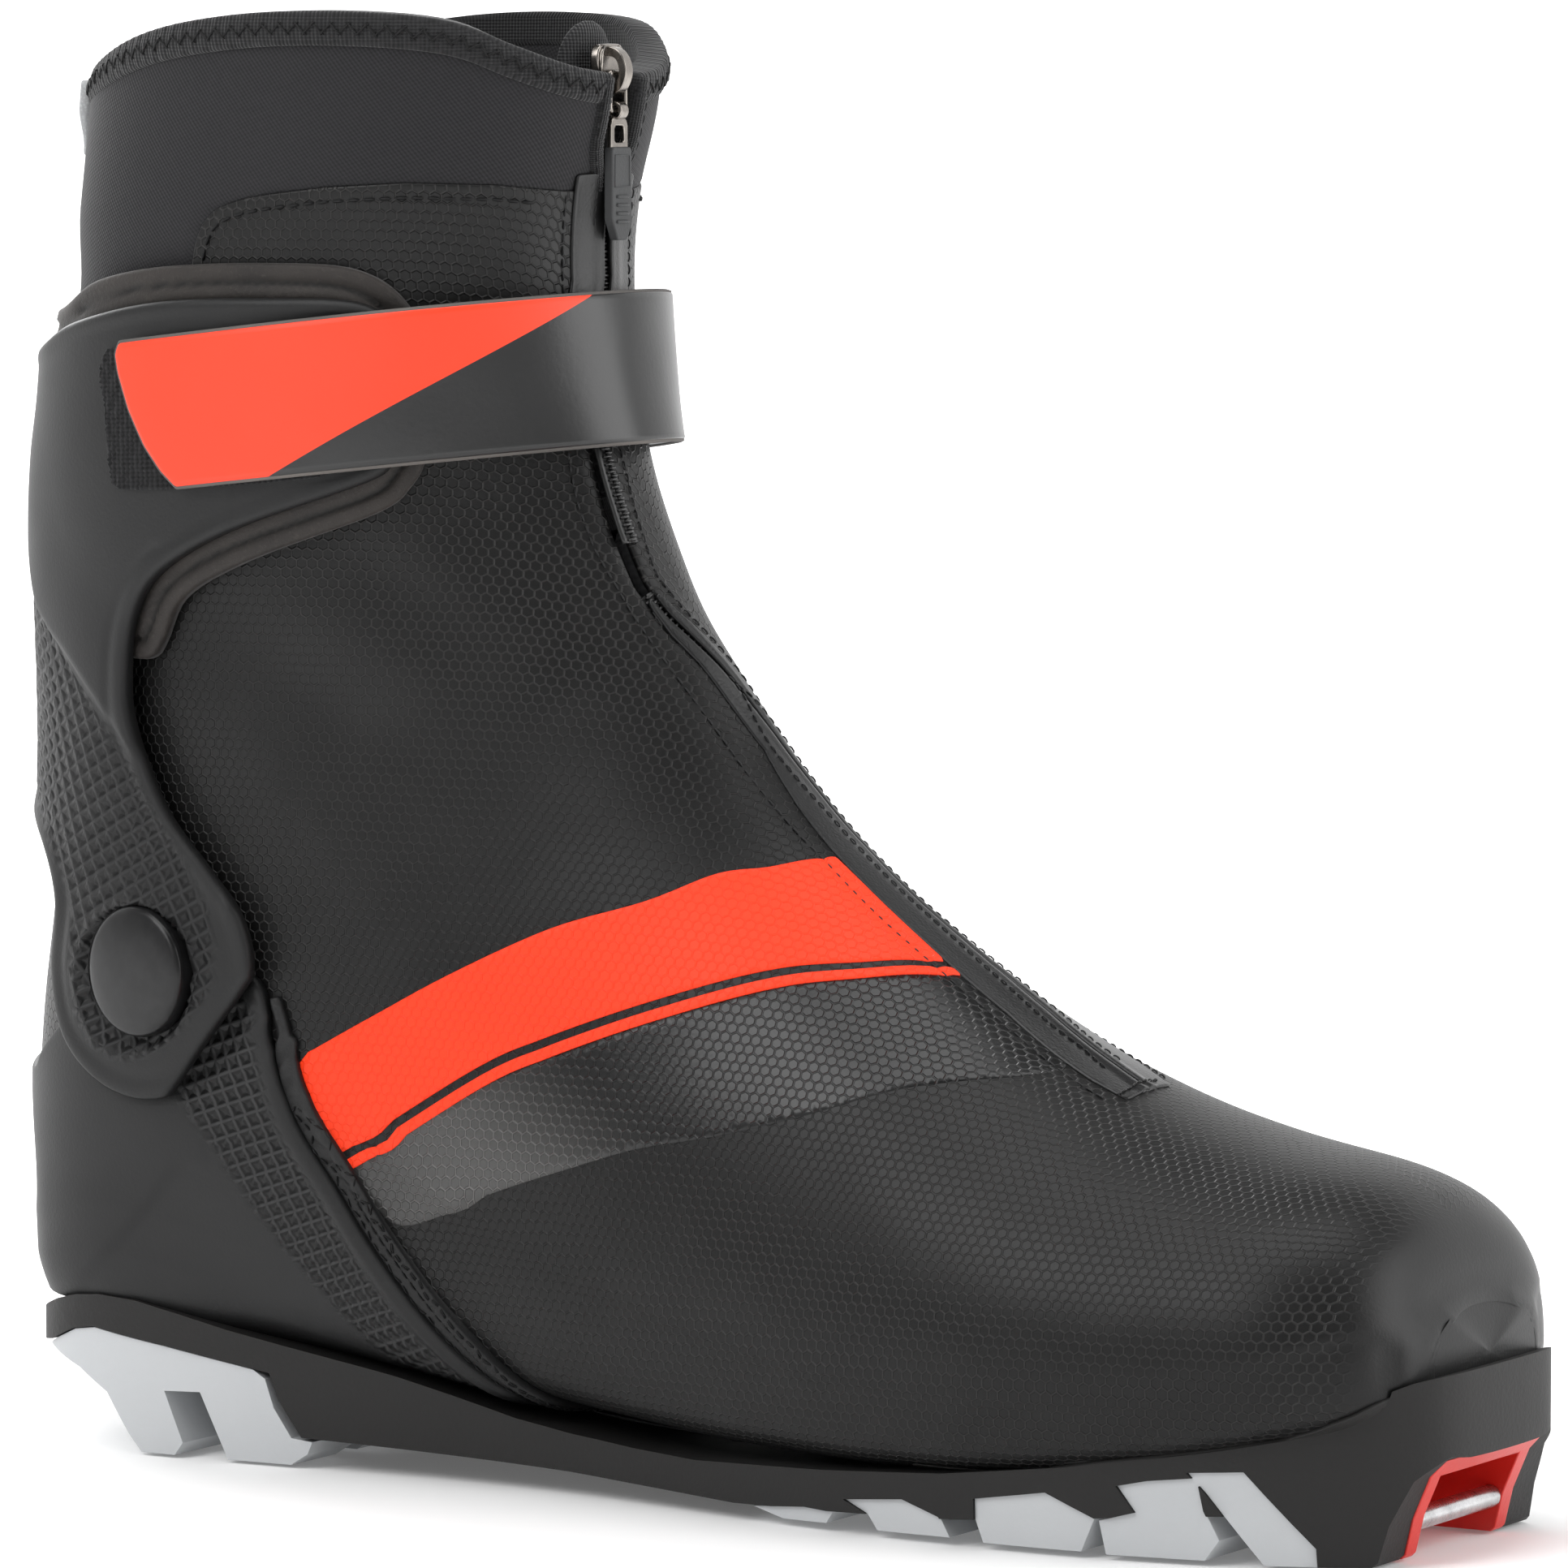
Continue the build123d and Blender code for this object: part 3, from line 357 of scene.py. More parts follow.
def patch(name, dfun, hout, hin, t0, t1, th0, th1, step=1.4, rim=0.6, wrap=False, mat=None, inner=True, attrs=None, rings=3, uvmode=None, lift=None, step_th=None):
    """A sheet or shell on the boot's body: the grid between t0..t1 and th0..th1, cut where dfun < rim, with a rounded rim down to hin."""
    nt = max(6, int((t1 - t0) / step))
    gm = S(np.linspace(t0, t1, 12)[:, None], np.linspace(th0, th1, 60)[None])
    girth = np.linalg.norm(np.diff(gm, axis=1), axis=2).sum(1).mean()
    nth = max(8, int(girth / (step_th or step)))
    T = np.linspace(t0, t1, nt + 1)
    TH = np.linspace(th0, th1, nth + 1)
    if wrap:
        TH = TH[:-1]
    GT, GTH = np.meshgrid(T, TH, indexing="ij")
    P0 = S(GT, GTH, 0.0)
    v = dfun(P0, GT, GTH) - rim if dfun is not None else np.full(GT.shape, 50.0)
    ni, nj = GT.shape
    vid = np.arange(ni * nj).reshape(ni, nj)
    gt, gth, gv = GT.ravel().copy(), GTH.ravel().copy(), v.ravel()
    J = nj if wrap else nj - 1
    a = vid[:-1, :J]; b = vid[1:, :J]
    c = np.roll(vid, -1, 1)[1:, :J]; dd = np.roll(vid, -1, 1)[:-1, :J]
    quads = np.stack([a, b, c, dd], -1).reshape(-1, 4)
    ins = gv[quads] >= 0
    full = quads[ins.all(1)]
    part = quads[ins.any(1) & ~ins.all(1)]
    ext_t, ext_th = [], []
    cache = {}; moved = {}
    span = 2 * pi if wrap else None

    def cross_pt(i, o):
        w = gv[i] / (gv[i] - gv[o] + 1e-12)
        dth = gth[o] - gth[i]
        if span:
            dth = (dth + pi) % (2 * pi) - pi
        q = (gt[i] + (gt[o] - gt[i]) * w, gth[i] + dth * w)
        if w < 0.22:
            moved.setdefault(i, []).append(q)
            return i
        if w > 0.80:
            key = ("o", o)
        else:
            key = (i, o)
        if key not in cache:
            cache[key] = (len(ext_t), [q])
            ext_t.append(q[0]); ext_th.append(q[1])
        elif key[0] == "o":
            cache[key][1].append(q)
        return ni * nj + cache[key][0]

    faces = []
    for q in part:
        poly = []
        for k in range(4):
            p, n_ = q[k], q[(k + 1) % 4]
            ip, inn = gv[p] >= 0, gv[n_] >= 0
            if ip:
                poly.append(int(p))
            if ip and not inn:
                poly.append(int(cross_pt(p, n_)))
            elif inn and not ip:
                poly.append(int(cross_pt(n_, p)))
        cl = [x for k, x in enumerate(poly) if x != poly[k - 1]]
        if len(set(cl)) >= 3 and len(set(cl)) == len(cl):
            faces.append(cl)
    for key, (idx, qs) in cache.items():
        if key[0] == "o" and len(qs) > 1:
            base = qs[0][1]
            ext_t[idx] = float(np.mean([x[0] for x in qs])); ext_th[idx] = float(np.mean([base + ((x[1] - base + pi) % (2 * pi) - pi) for x in qs]))
    for i, qs in moved.items():
        base = qs[0][1]
        gt[i] = np.mean([x[0] for x in qs]); gth[i] = np.mean([base + ((x[1] - base + pi) % (2 * pi) - pi) for x in qs])
    at_ = np.concatenate([gt, ext_t]); ath = np.concatenate([gth, ext_th])
    F = [list(map(int, f)) for f in full] + faces
    used = np.unique(np.concatenate([np.array(f) for f in F])) if F else np.array([], int)
    remap = -np.ones(len(at_), int); remap[used] = np.arange(len(used))
    F = [[int(remap[x]) for x in f] for f in F]
    t_, th_ = at_[used], ath[used]
    # orientation
    f0 = F[len(F) // 2]
    q = S(t_[f0], th_[f0])
    nn = np.cross(q[1] - q[0], q[2] - q[0])
    if (nn * N(t_[f0[0]], th_[f0[0]])).sum() < 0:
        F = [f[::-1] for f in F]
    Pm = S(t_, th_, 0.0)
    dv = dfun(Pm, t_, th_) if dfun is not None else np.full(len(t_), 50.0)
    ho = hout(Pm, t_, th_, dv) if callable(hout) else np.full(len(t_), float(hout))
    hi = hin(Pm, t_, th_, dv) if callable(hin) else np.full(len(t_), float(hin))
    SH = seat(Pm)
    Po = S(t_, th_, ho) + SH; No = N(t_, th_, ho)
    # boundary loops
    de = {}
    for f in F:
        for k in range(len(f)):
            de[(f[k], f[(k + 1) % len(f)])] = 1
    nxt = {}
    for (x, y) in de:
        if (y, x) not in de:
            nxt.setdefault(x, []).append(y)
    loops = []
    while nxt:
        s0 = next(iter(nxt)); loop = [s0]; cur = s0
        while True:
            l = nxt.get(cur)
            if not l:
                break
            y = l.pop()
            if not l:
                del nxt[cur]
            if y == s0:
                break
            loop.append(y); cur = y
        if len(loop) > 3:
            loops.append(loop)
    V = [Po]; Fa = list(F); base = len(t_)
    TT = [t_]; HH = [th_]; DV = [dv]; EX = [np.zeros(len(t_))]
    if inner:
        Pi = S(t_, th_, hi) + SH
        V.append(Pi); TT.append(t_); HH.append(th_); DV.append(dv); EX.append(np.ones(len(t_)))
        Fa += [[x + base for x in f[::-1]] for f in F]
        inner_off = base
        base += len(t_)
    prof = quarter(rim, rings)
    for lp in loops:
        L = np.array(lp)
        P = Po[L]; n_ = No[L].copy()
        for _ in range(2):
            n_ = (np.roll(n_, 1, 0) + n_ * 2 + np.roll(n_, -1, 0)); n_ /= np.linalg.norm(n_, axis=1, keepdims=True)
        tg = np.roll(P, -1, 0) - np.roll(P, 1, 0)
        for _ in range(1):
            tg = (np.roll(tg, 1, 0) + tg * 2 + np.roll(tg, -1, 0))
        tg /= np.linalg.norm(tg, axis=1, keepdims=True) + 1e-9
        out = np.cross(tg, n_); out /= np.linalg.norm(out, axis=1, keepdims=True) + 1e-9
        thick = (ho - hi)[L]
        prev = L; m = len(L)
        sc = np.minimum(1.0, thick / max(rim, 1e-6) * .98)
        for k, (ao, bo) in enumerate(prof):
            ring = P + out * ao - n_ * (bo * sc)[:, None]
            ids = base + np.arange(m)
            V.append(ring); TT.append(t_[L]); HH.append(th_[L]); DV.append(np.full(m, rim - ao)); EX.append(np.zeros(m))
            base += m
            Fa += [[int(prev[(q + 1) % m]), int(prev[q]), int(ids[q]), int(ids[(q + 1) % m])] for q in range(m)]
            prev = ids
        ring = P + out * rim - n_ * np.maximum(thick, rim * sc)[:, None]
        ids = base + np.arange(m)
        V.append(ring); TT.append(t_[L]); HH.append(th_[L]); DV.append(np.zeros(m)); EX.append(np.ones(m))
        base += m
        Fa += [[int(prev[(q + 1) % m]), int(prev[q]), int(ids[q]), int(ids[(q + 1) % m])] for q in range(m)]
        if inner:
            Fa += [[int(ids[(q + 1) % m]), int(ids[q]), int(L[q] + inner_off), int(L[(q + 1) % m] + inner_off)] for q in range(m)]
    V = np.concatenate(V); TT = np.concatenate(TT); HH = np.concatenate(HH); DV = np.concatenate(DV); EX = np.concatenate(EX)
    A = {"d": DV, "inside": EX}
    if attrs:
        for k, fn in attrs.items():
            A[k] = fn(S(TT, HH), TT, HH, DV)

    def uv(me, vi):
        npoly = len(me.polygons)
        ls = np.zeros(npoly, np.int32); lt = np.zeros(npoly, np.int32)
        me.polygons.foreach_get("loop_start", ls); me.polygons.foreach_get("loop_total", lt)
        co = V[vi]
        pid = np.repeat(np.arange(npoly), lt)
        ctr = np.zeros(npoly); np.add.at(ctr, pid, np.cos(HH[vi])); ctr /= lt
        med = (ctr > 0)[pid]
        return unfold(TT[vi], HH[vi], med)

    o = new_object(name, V, Fa, mat, uvs=uv, attrs=A)
    o["_n"] = len(V)
    return o


def tube(name, P, r, mat=None, sides=8, closed=False, cap=True, flat=1.0, normals=None, taper=None):
    """Round or flattened tube along points (mm)."""
    P = np.asarray(P, float); n = len(P)
    if closed:
        T = np.roll(P, -1, 0) - np.roll(P, 1, 0)
    else:
        T = np.gradient(P, axis=0)
    T /= np.linalg.norm(T, axis=1, keepdims=True) + 1e-12
    if normals is None:
        up = np.array([0, 0, 1.0]) if abs(T[:, 2]).mean() < .8 else np.array([0, 1.0, 0])
        normals = np.cross(np.cross(T, up), T)
    B = np.cross(T, normals); B /= np.linalg.norm(B, axis=1, keepdims=True) + 1e-12
    M = np.cross(B, T)
    rr = np.full(n, r) if taper is None else r * np.asarray(taper)
    V = []; F = []
    for k in range(sides):
        a = 2 * pi * k / sides
        V.append(P + (B * math.cos(a) + M * math.sin(a) * flat) * rr[:, None])
    V = np.stack(V, 1).reshape(-1, 3)
    m = n if closed else n - 1
    for i in range(m):
        for k in range(sides):
            a = i * sides + k; b = i * sides + (k + 1) % sides; i2 = (i + 1) % n
            F.append((a, b, i2 * sides + (k + 1) % sides, i2 * sides + k))
    if cap and not closed:
        F.append(tuple(range(sides))[::-1]); F.append(tuple((n - 1) * sides + k for k in range(sides)))
    return V, F


def merge(parts):
    V, F, o = [], [], 0
    for v, f in parts:
        V.append(np.asarray(v)); F += [tuple(x + o for x in q) for q in f]; o += len(v)
    return np.concatenate(V), F


def resample(P, step, closed=False):
    P = np.asarray(P, float)
    if closed:
        P = np.vstack([P, P[:1]])
    s = np.concatenate([[0], np.cumsum(np.linalg.norm(np.diff(P, axis=0), axis=1))])
    n = max(2, int(round(s[-1] / step)))
    u = np.linspace(0, s[-1], n + 1)
    Q = np.stack([np.interp(u, s, P[:, k]) for k in range(P.shape[1])], 1)
    return Q[:-1] if closed else Q


def stitches(name, path, normals, mat, pitch=2.6, length=1.8, r=0.22, lift=0.1, zig=0.0, closed=False):
    """Thread stitches along a line on the surface: small capsules that dip at their ends."""
    P = np.asarray(path, float)
    s = np.concatenate([[0], np.cumsum(np.linalg.norm(np.diff(P, axis=0), axis=1))])
    n = int(s[-1] / pitch)
    parts = []
    ip = lambda u, A: np.array([np.interp(u, s, A[:, k]) for k in range(3)])
    Nn = np.asarray(normals, float)
    for i in range(n):
        c = (i + .5) * pitch
        a, b = ip(c - length / 2, P), ip(c + length / 2, P)
        m = ip(c, Nn); m /= np.linalg.norm(m) + 1e-9
        tg = b - a; tg /= np.linalg.norm(tg) + 1e-9
        sd = np.cross(m, tg)
        if zig:
            z = zig * (1 if i % 2 else -1)
            a, b = a + sd * z, b - sd * z
        pts = []
        for u in (0, .12, .35, .65, .88, 1):
            pts.append(a + (b - a) * u + m * (lift + r * .9 * math.sin(pi * u) - (r * .6 if u in (0, 1) else 0)))
        parts.append(tube("", pts, r, sides=5, taper=[.35, .8, 1, 1, .8, .35]))
    if not parts:
        return None
    V, F = merge(parts)
    return new_object(name, V, F, mat)


# ------------------------------------------------------------------ materials
def srgb(h):
    h = h.lstrip("#")
    c = [int(h[i:i + 2], 16) / 255 for i in (0, 2, 4)]
    return tuple(x / 12.92 if x <= .04045 else ((x + .055) / 1.055) ** 2.4 for x in c) + (1.0,)


class Mat:
    """Small builder for node materials."""

    def __init__(s, name):
        s.m = bpy.data.materials.new(name); s.m.use_nodes = True
        s.nt = s.m.node_tree; s.nt.nodes.clear()
        s.out = s.nt.nodes.new("ShaderNodeOutputMaterial")
        s.b = s.nt.nodes.new("ShaderNodeBsdfPrincipled")
        s.nt.links.new(s.b.outputs[0], s.out.inputs[0])

    def n(s, kind, **kw):
        x = s.nt.nodes.new(kind)
        for k, v in kw.items():
            setattr(x, k, v)
        return x

    def put(s, sock, v):
        if isinstance(v, bpy.types.NodeSocket):
            s.nt.links.new(v, sock)
        elif v is not None:
            sock.default_value = v

    def math(s, op, a, b=None, c=None, clamp=False):
        x = s.n("ShaderNodeMath", operation=op, use_clamp=clamp)
        s.put(x.inputs[0], a); s.put(x.inputs[1], b); s.put(x.inputs[2], c)
        return x.outputs[0]

    def vmath(s, op, a, b=None, out=0, scale=None):
        x = s.n("ShaderNodeVectorMath", operation=op)
        s.put(x.inputs[0], a); s.put(x.inputs[1], b)
        if scale is not None:
            s.put(x.inputs["Scale"], scale)
        return x.outputs[out]

    def mix(s, f, a, b):
        x = s.n("ShaderNodeMix", data_type="RGBA")
        s.put(x.inputs[0], f); s.put(x.inputs[6], a); s.put(x.inputs[7], b)
        return x.outputs[2]

    def mixf(s, f, a, b):
        x = s.n("ShaderNodeMix", data_type="FLOAT")
        s.put(x.inputs[0], f); s.put(x.inputs[2], a); s.put(x.inputs[3], b)
        return x.outputs[0]

    def ramp(s, v, a, b, lo=0.0, hi=1.0):
        x = s.n("ShaderNodeMapRange", interpolation_type="SMOOTHSTEP")
        s.put(x.inputs[0], v); s.put(x.inputs[1], a); s.put(x.inputs[2], b); s.put(x.inputs[3], lo); s.put(x.inputs[4], hi)
        return x.outputs[0]

    def attr(s, name):
        x = s.n("ShaderNodeAttribute", attribute_name=name)
        return x.outputs["Fac"]

    def uv(s):
        return s.n("ShaderNodeUVMap", uv_map="mm").outputs[0]

    def obj(s):
        """Object place in millimetres."""
        return s.vmath("SCALE", s.n("ShaderNodeTexCoord").outputs["Object"], scale=1000.0)

    def noise(s, vec, scale, detail=3.0, rough=.55, out="Fac"):
        x = s.n("ShaderNodeTexNoise")
        s.put(x.inputs["Vector"], vec); x.inputs["Scale"].default_value = scale
        x.inputs["Detail"].default_value = detail; x.inputs["Roughness"].default_value = rough
        return x.outputs[out]

    def voronoi(s, vec, scale, feature="F1", out="Distance", rnd=1.0):
        x = s.n("ShaderNodeTexVoronoi", feature=feature)
        s.put(x.inputs["Vector"], vec); x.inputs["Scale"].default_value = scale
        x.inputs["Randomness"].default_value = rnd
        return x.outputs[out]

    def bump(s, height, dist_mm, strength=1.0, normal=None):
        x = s.n("ShaderNodeBump")
        x.inputs["Strength"].default_value = strength
        x.inputs["Distance"].default_value = dist_mm / 1000.0
        s.put(x.inputs["Height"], height)
        if normal is not None:
            s.nt.links.new(normal, x.inputs["Normal"])
        return x.outputs[0]

    def hexes(s, vec, pitch):
        """Distance from a honeycomb cell's border: 0 at the border, 0.5 at its middle."""
        p = s.vmath("SCALE", vec, scale=1.0 / pitch)
        r = (1.0, 1.7320508, 1.0); h = (.5, .8660254, .5)

        def cell(q):
            w = s.n("ShaderNodeVectorMath", operation="WRAP")
            s.put(w.inputs[0], q); w.inputs[1].default_value = (.5, .8660254, 1.0); w.inputs[2].default_value = (-.5, -.8660254, -1.0)
            return w.outputs[0]
        c1 = cell(p); c2 = cell(s.vmath("SUBTRACT", p, (.5, .8660254, 0)))

        def hd(c):
            z = s.n("ShaderNodeSeparateXYZ"); s.put(z.inputs[0], s.vmath("ABSOLUTE", c))
            d = s.math("ADD", s.math("MULTIPLY", z.outputs[0], .5), s.math("MULTIPLY", z.outputs[1], .8660254))
            return s.math("MAXIMUM", d, z.outputs[0])
        return s.math("SUBTRACT", .5, s.math("MINIMUM", hd(c1), hd(c2)))

    def base(s, color=None, rough=None, metal=None, spec=None, coat=None, coat_rough=None, sheen=None, sheen_rough=None, normal=None):
        b = s.b
        s.put(b.inputs["Base Color"], color)
        s.put(b.inputs["Roughness"], rough)
        if metal is not None: b.inputs["Metallic"].default_value = metal
        if spec is not None: b.inputs["Specular IOR Level"].default_value = spec
        if coat is not None: b.inputs["Coat Weight"].default_value = coat
        if coat_rough is not None: b.inputs["Coat Roughness"].default_value = coat_rough
        if sheen is not None: b.inputs["Sheen Weight"].default_value = sheen
        if sheen_rough is not None: b.inputs["Sheen Roughness"].default_value = sheen_rough
        if normal is not None: s.nt.links.new(normal, b.inputs["Normal"])
        return s.m


def c4(v):
    return (v, v, v, 1.0) if not hasattr(v, "__len__") else tuple(v) + (1.0,) if len(v) == 3 else tuple(v)


HEX = 2.0


def hex_coated(name, lo, hi, rough_lo, rough_hi, depth=.22, coat=0.0, grad=None, spec=.5):
    """Coated fabric embossed with a honeycomb: domed cells between fine raised borders, with a painted highlight on the
    borders.
    """
    s = Mat(name)
    uv = s.uv(); ob = s.obj()
    e = s.hexes(uv, HEX)
    z = s.n("ShaderNodeSeparateXYZ"); s.put(z.inputs[0], ob)
    line = s.math("MULTIPLY", s.ramp(e, .02, .12, 1, 0), s.ramp(z.outputs[0], 129, 139, 1, 0))
    big = s.noise(ob, .012, 2); mid = s.noise(ob, .09, 3); fine = s.noise(ob, 1.6, 2)
    # painted highlight: the raised borders are drawn lighter than the cells, unevenly strong and only over part of the
    # length
    ridge_highlight = s.math("MULTIPLY", line, s.ramp(big, .38, .62, .45, 1.0))
    col = s.mix(ridge_highlight, c4(lo), c4(hi))
    col = s.mix(s.math("MULTIPLY", s.math("SUBTRACT", mid, .5), .5), col, c4(hi))
    if grad:
        f = s.attr(grad)
        # the faded print, its borders again drawn lighter as a painted highlight
        col = s.mix(s.math("MULTIPLY", f, .9), col, s.mix(line, (.060, .059, .057, 1), (.135, .132, .128, 1)))
    rough = s.mixf(s.math("ADD", s.math("MULTIPLY", line, .5), s.math("MULTIPLY", fine, .35)), rough_lo, rough_hi)
    hgt = s.math("ADD", s.math("MULTIPLY", line, 1.0), s.math("MULTIPLY", fine, .16))
    nb = s.bump(hgt, depth, 1.0)
    return s.base(col, rough, spec=spec, coat=coat, coat_rough=.25, normal=nb)


M_UPPER = hex_coated("upper_honeycomb", (.0040, .0039, .0039), (.021, .0204, .0198), .40, .52, .22, spec=.30)
M_PANEL = hex_coated("panel_honeycomb_gloss", (.0028, .0028, .0029), (.010, .010, .010), .27, .38, .26, grad="fade", spec=.42)


def make_orange():
    s = Mat("band_orange_film")
    uv = s.uv(); ob = s.obj()
    e = s.hexes(uv, HEX)
    line = s.ramp(e, .02, .12, 1, 0)
    v = s.noise(ob, .05, 2)
    col = s.mix(s.math("MULTIPLY", v, .35), srgb("#ff3a15"), srgb("#ff431b"))
    col = s.mix(s.math("MULTIPLY", line, .16), col, srgb("#d83a18"))
    nb = s.bump(s.math("ADD", line, s.math("MULTIPLY", s.noise(ob, 1.5, 2), .2)), .12)
    return s.base(col, s.mixf(v, .46, .56), spec=.28, normal=nb)


M_ORANGE = make_orange()


def make_neoprene():
    s = Mat("collar_neoprene")
    uv = s.uv()
    # fine diagonal twill of the knit face
    z = s.n("ShaderNodeSeparateXYZ"); s.put(z.inputs[0], uv)
    d1 = s.math("SINE", s.math("MULTIPLY", s.math("ADD", z.outputs[0], s.math("MULTIPLY", z.outputs[1], .8)), 7.2))
    d2 = s.math("SINE", s.math("MULTIPLY", s.math("SUBTRACT", z.outputs[1], s.math("MULTIPLY", z.outputs[0], .35)), 9.0))
    w = s.math("ADD", s.math("MULTIPLY", d1, .6), s.math("MULTIPLY", d2, .3))
    fz = s.noise(s.obj(), .9, 4); big = s.noise(s.obj(), .02, 2)
    col = s.mix(s.ramp(w, -.8, .8), (.006, .006, .0068, 1), (.019, .0185, .0205, 1))
    col = s.mix(s.math("MULTIPLY", big, .35), col, (.022, .021, .023, 1))
    nb = s.bump(s.math("ADD", s.math("MULTIPLY", w, .5), s.math("MULTIPLY", fz, .6)), .10)
    return s.base(col, s.mixf(fz, .72, .88), spec=.28, sheen=.10, sheen_rough=.45, normal=nb)


def make_knit(name, a, b, k=5.0, sheen=.15):
    s = Mat(name)
    uv = s.uv()
    z = s.n("ShaderNodeSeparateXYZ"); s.put(z.inputs[0], uv)
    rib = s.math("SINE", s.math("MULTIPLY", z.outputs[0], k)); rib2 = s.math("SINE", s.math("MULTIPLY", z.outputs[1], k * 1.3))
    w = s.math("ADD", s.math("MULTIPLY", rib, .5), s.math("MULTIPLY", rib2, .5))
    fz = s.noise(s.obj(), .8, 4)
    col = s.mix(s.ramp(w, -.9, .9), c4(a), c4(b))
    col = s.mix(s.math("MULTIPLY", fz, .4), col, c4(b))
    nb = s.bump(s.math("ADD", w, fz), .12)
    return s.base(col, .85, spec=.25, sheen=sheen, sheen_rough=.5, normal=nb)


M_NEO = make_neoprene()
M_HEM = make_knit("hem_knit", (.006, .006, .0065), (.02, .02, .021), 8.0)
M_LINING = make_knit("lining_fabric", (.012, .012, .013), (.03, .03, .032), 4.0)
M_FOOTBED = make_knit("footbed_fabric", (.02, .02, .022), (.05, .05, .055), 3.0)


def make_soft(name, col, rough, grain=1.0, var=.3, spec=.35, depth=.05, hi=None, latt=None):
    """Soft-touch moulded plastic or rubber: very fine grain, slow unevenness."""
    s = Mat(name)
    ob = s.obj()
    g = s.noise(ob, 1.4 * grain, 3, .6); g2 = s.voronoi(ob, 1.1 * grain, "F1"); big = s.noise(ob, .02, 3)
    hi = hi or tuple(x * 1.9 + .004 for x in col)
    cc = s.mix(s.math("MULTIPLY", s.ramp(big, .35, .7), var), c4(col), c4(hi))
    cc = s.mix(s.math("MULTIPLY", g, .14), cc, c4(hi))
    nb = s.bump(s.math("ADD", g, s.math("MULTIPLY", g2, .5)), depth)
    if latt:
        pitch, a1, a2, cell_shade_col, rib_highlight_col = latt
        ds = []
        for a in (a1, a2):
            u = s.vmath("DOT_PRODUCT", ob, (math.cos(R(a)) / pitch, 0, math.sin(R(a)) / pitch), out=1)
            # the pattern is laid out in the shape's own millimetres, so the frame's offset is put back
            u = s.math("ADD", u, (math.cos(R(a)) * OX + math.sin(R(a)) * OZ) / pitch)
            ds.append(s.math("ABSOLUTE", s.math("SUBTRACT", u, s.math("ROUND", u))))
        c = s.math("MULTIPLY", s.math("MINIMUM", ds[0], ds[1]), 2.0)
        m = s.attr("latt")
        # painted shade in the recessed cells and a painted highlight on the ribs between them
        cell = s.ramp(c, .10, .30)
        cc = s.mix(m, cc, s.mix(cell, c4(rib_highlight_col), c4(cell_shade_col)))
        nb = s.bump(s.math("MULTIPLY", s.math("SUBTRACT", 1.0, s.ramp(c, .04, .8)), m), .5, 1.0, nb)
    return s.base(cc, s.mixf(s.ramp(big, .3, .7), rough - .05, rough + .06), spec=spec, normal=nb)


# lattice colours: darker cells as painted shade, lighter ribs as a painted highlight
M_CUFF = make_soft("cuff_soft_touch", (.0070, .0071, .0073), .50, 1.2, .25, .34, .035, latt=(2.9, 26, 118, (.0055, .0055, .0057), (.0135, .0135, .014)))
M_CUP = make_soft("heel_cup_tpu", (.0058, .0059, .0061), .50, 1.2, .25, .34, .035, latt=(2.75, 22, 108, (.0028, .0028, .0029), (.022, .022, .0225)))
M_TRIM = make_soft("trim_coated", (.0070, .0070, .0072), .50, 1.6, .25, .36, .06)
M_SOLE = make_soft("sole_rubber", (.0110, .0105, .0102), .58, 1.0, .25, .34, .06)
M_TREAD = make_soft("tread_white", (.50, .515, .53), .42, .8, .25, .4, .03, hi=(.57, .58, .59))
M_RED = make_soft("toe_red", (.60, .018, .012), .30, 1.2, .25, .5, .03, hi=(.70, .04, .02))
M_FACING = make_soft("facing_film", (.0036, .0036, .0038), .38, 1.4, .25, .42, .05)
M_GRIP = make_soft("grip_rubber", (.035, .036, .037), .60, 1.6, .3, .35, .05)
M_BOARD = make_soft("lasting_board", (.18, .15, .11), .85, .6, .5, .2, .1)
M_SHANK = make_soft("shank_fibre", (.03, .03, .03), .5, .6, .3)
M_THREAD = make_soft("thread_black", (.009, .009, .0095), .55, 3.0, .2, .36, .02)
M_THREAD_G = make_soft("thread_dark", (.0035, .0035, .0037), .55, 3.0, .2, .25, .02)
M_COIL = make_soft("zip_coil", (.010, .010, .010), .35, 2.0, .2, .5, .02)
M_HOOK = make_knit("hook_tape", (.003, .003, .0032), (.016, .016, .017), 6.0, .05)


def make_pad():
    s = Mat("pad_foam_bronze")
    ob = s.obj(); uv = s.uv()
    g = s.noise(ob, 1.1, 4, .7); big = s.noise(ob, .06, 3)
    col = s.mix(s.ramp(big, .3, .7), (.0125, .0100, .0088, 1), (.022, .0178, .0152, 1))
    col = s.mix(s.ramp(g, .5, .75), col, (.033, .0275, .024, 1))
    groove = s.ramp(s.attr("groove"), 0, 1)
    # painted shade: the groove between the beads is drawn darker
    col = s.mix(groove, col, (.004, .0035, .003, 1))
    nb = s.bump(g, .14)
    return s.base(col, .66, spec=.4, sheen=.10, sheen_rough=.4, normal=nb)


M_PAD = make_pad()


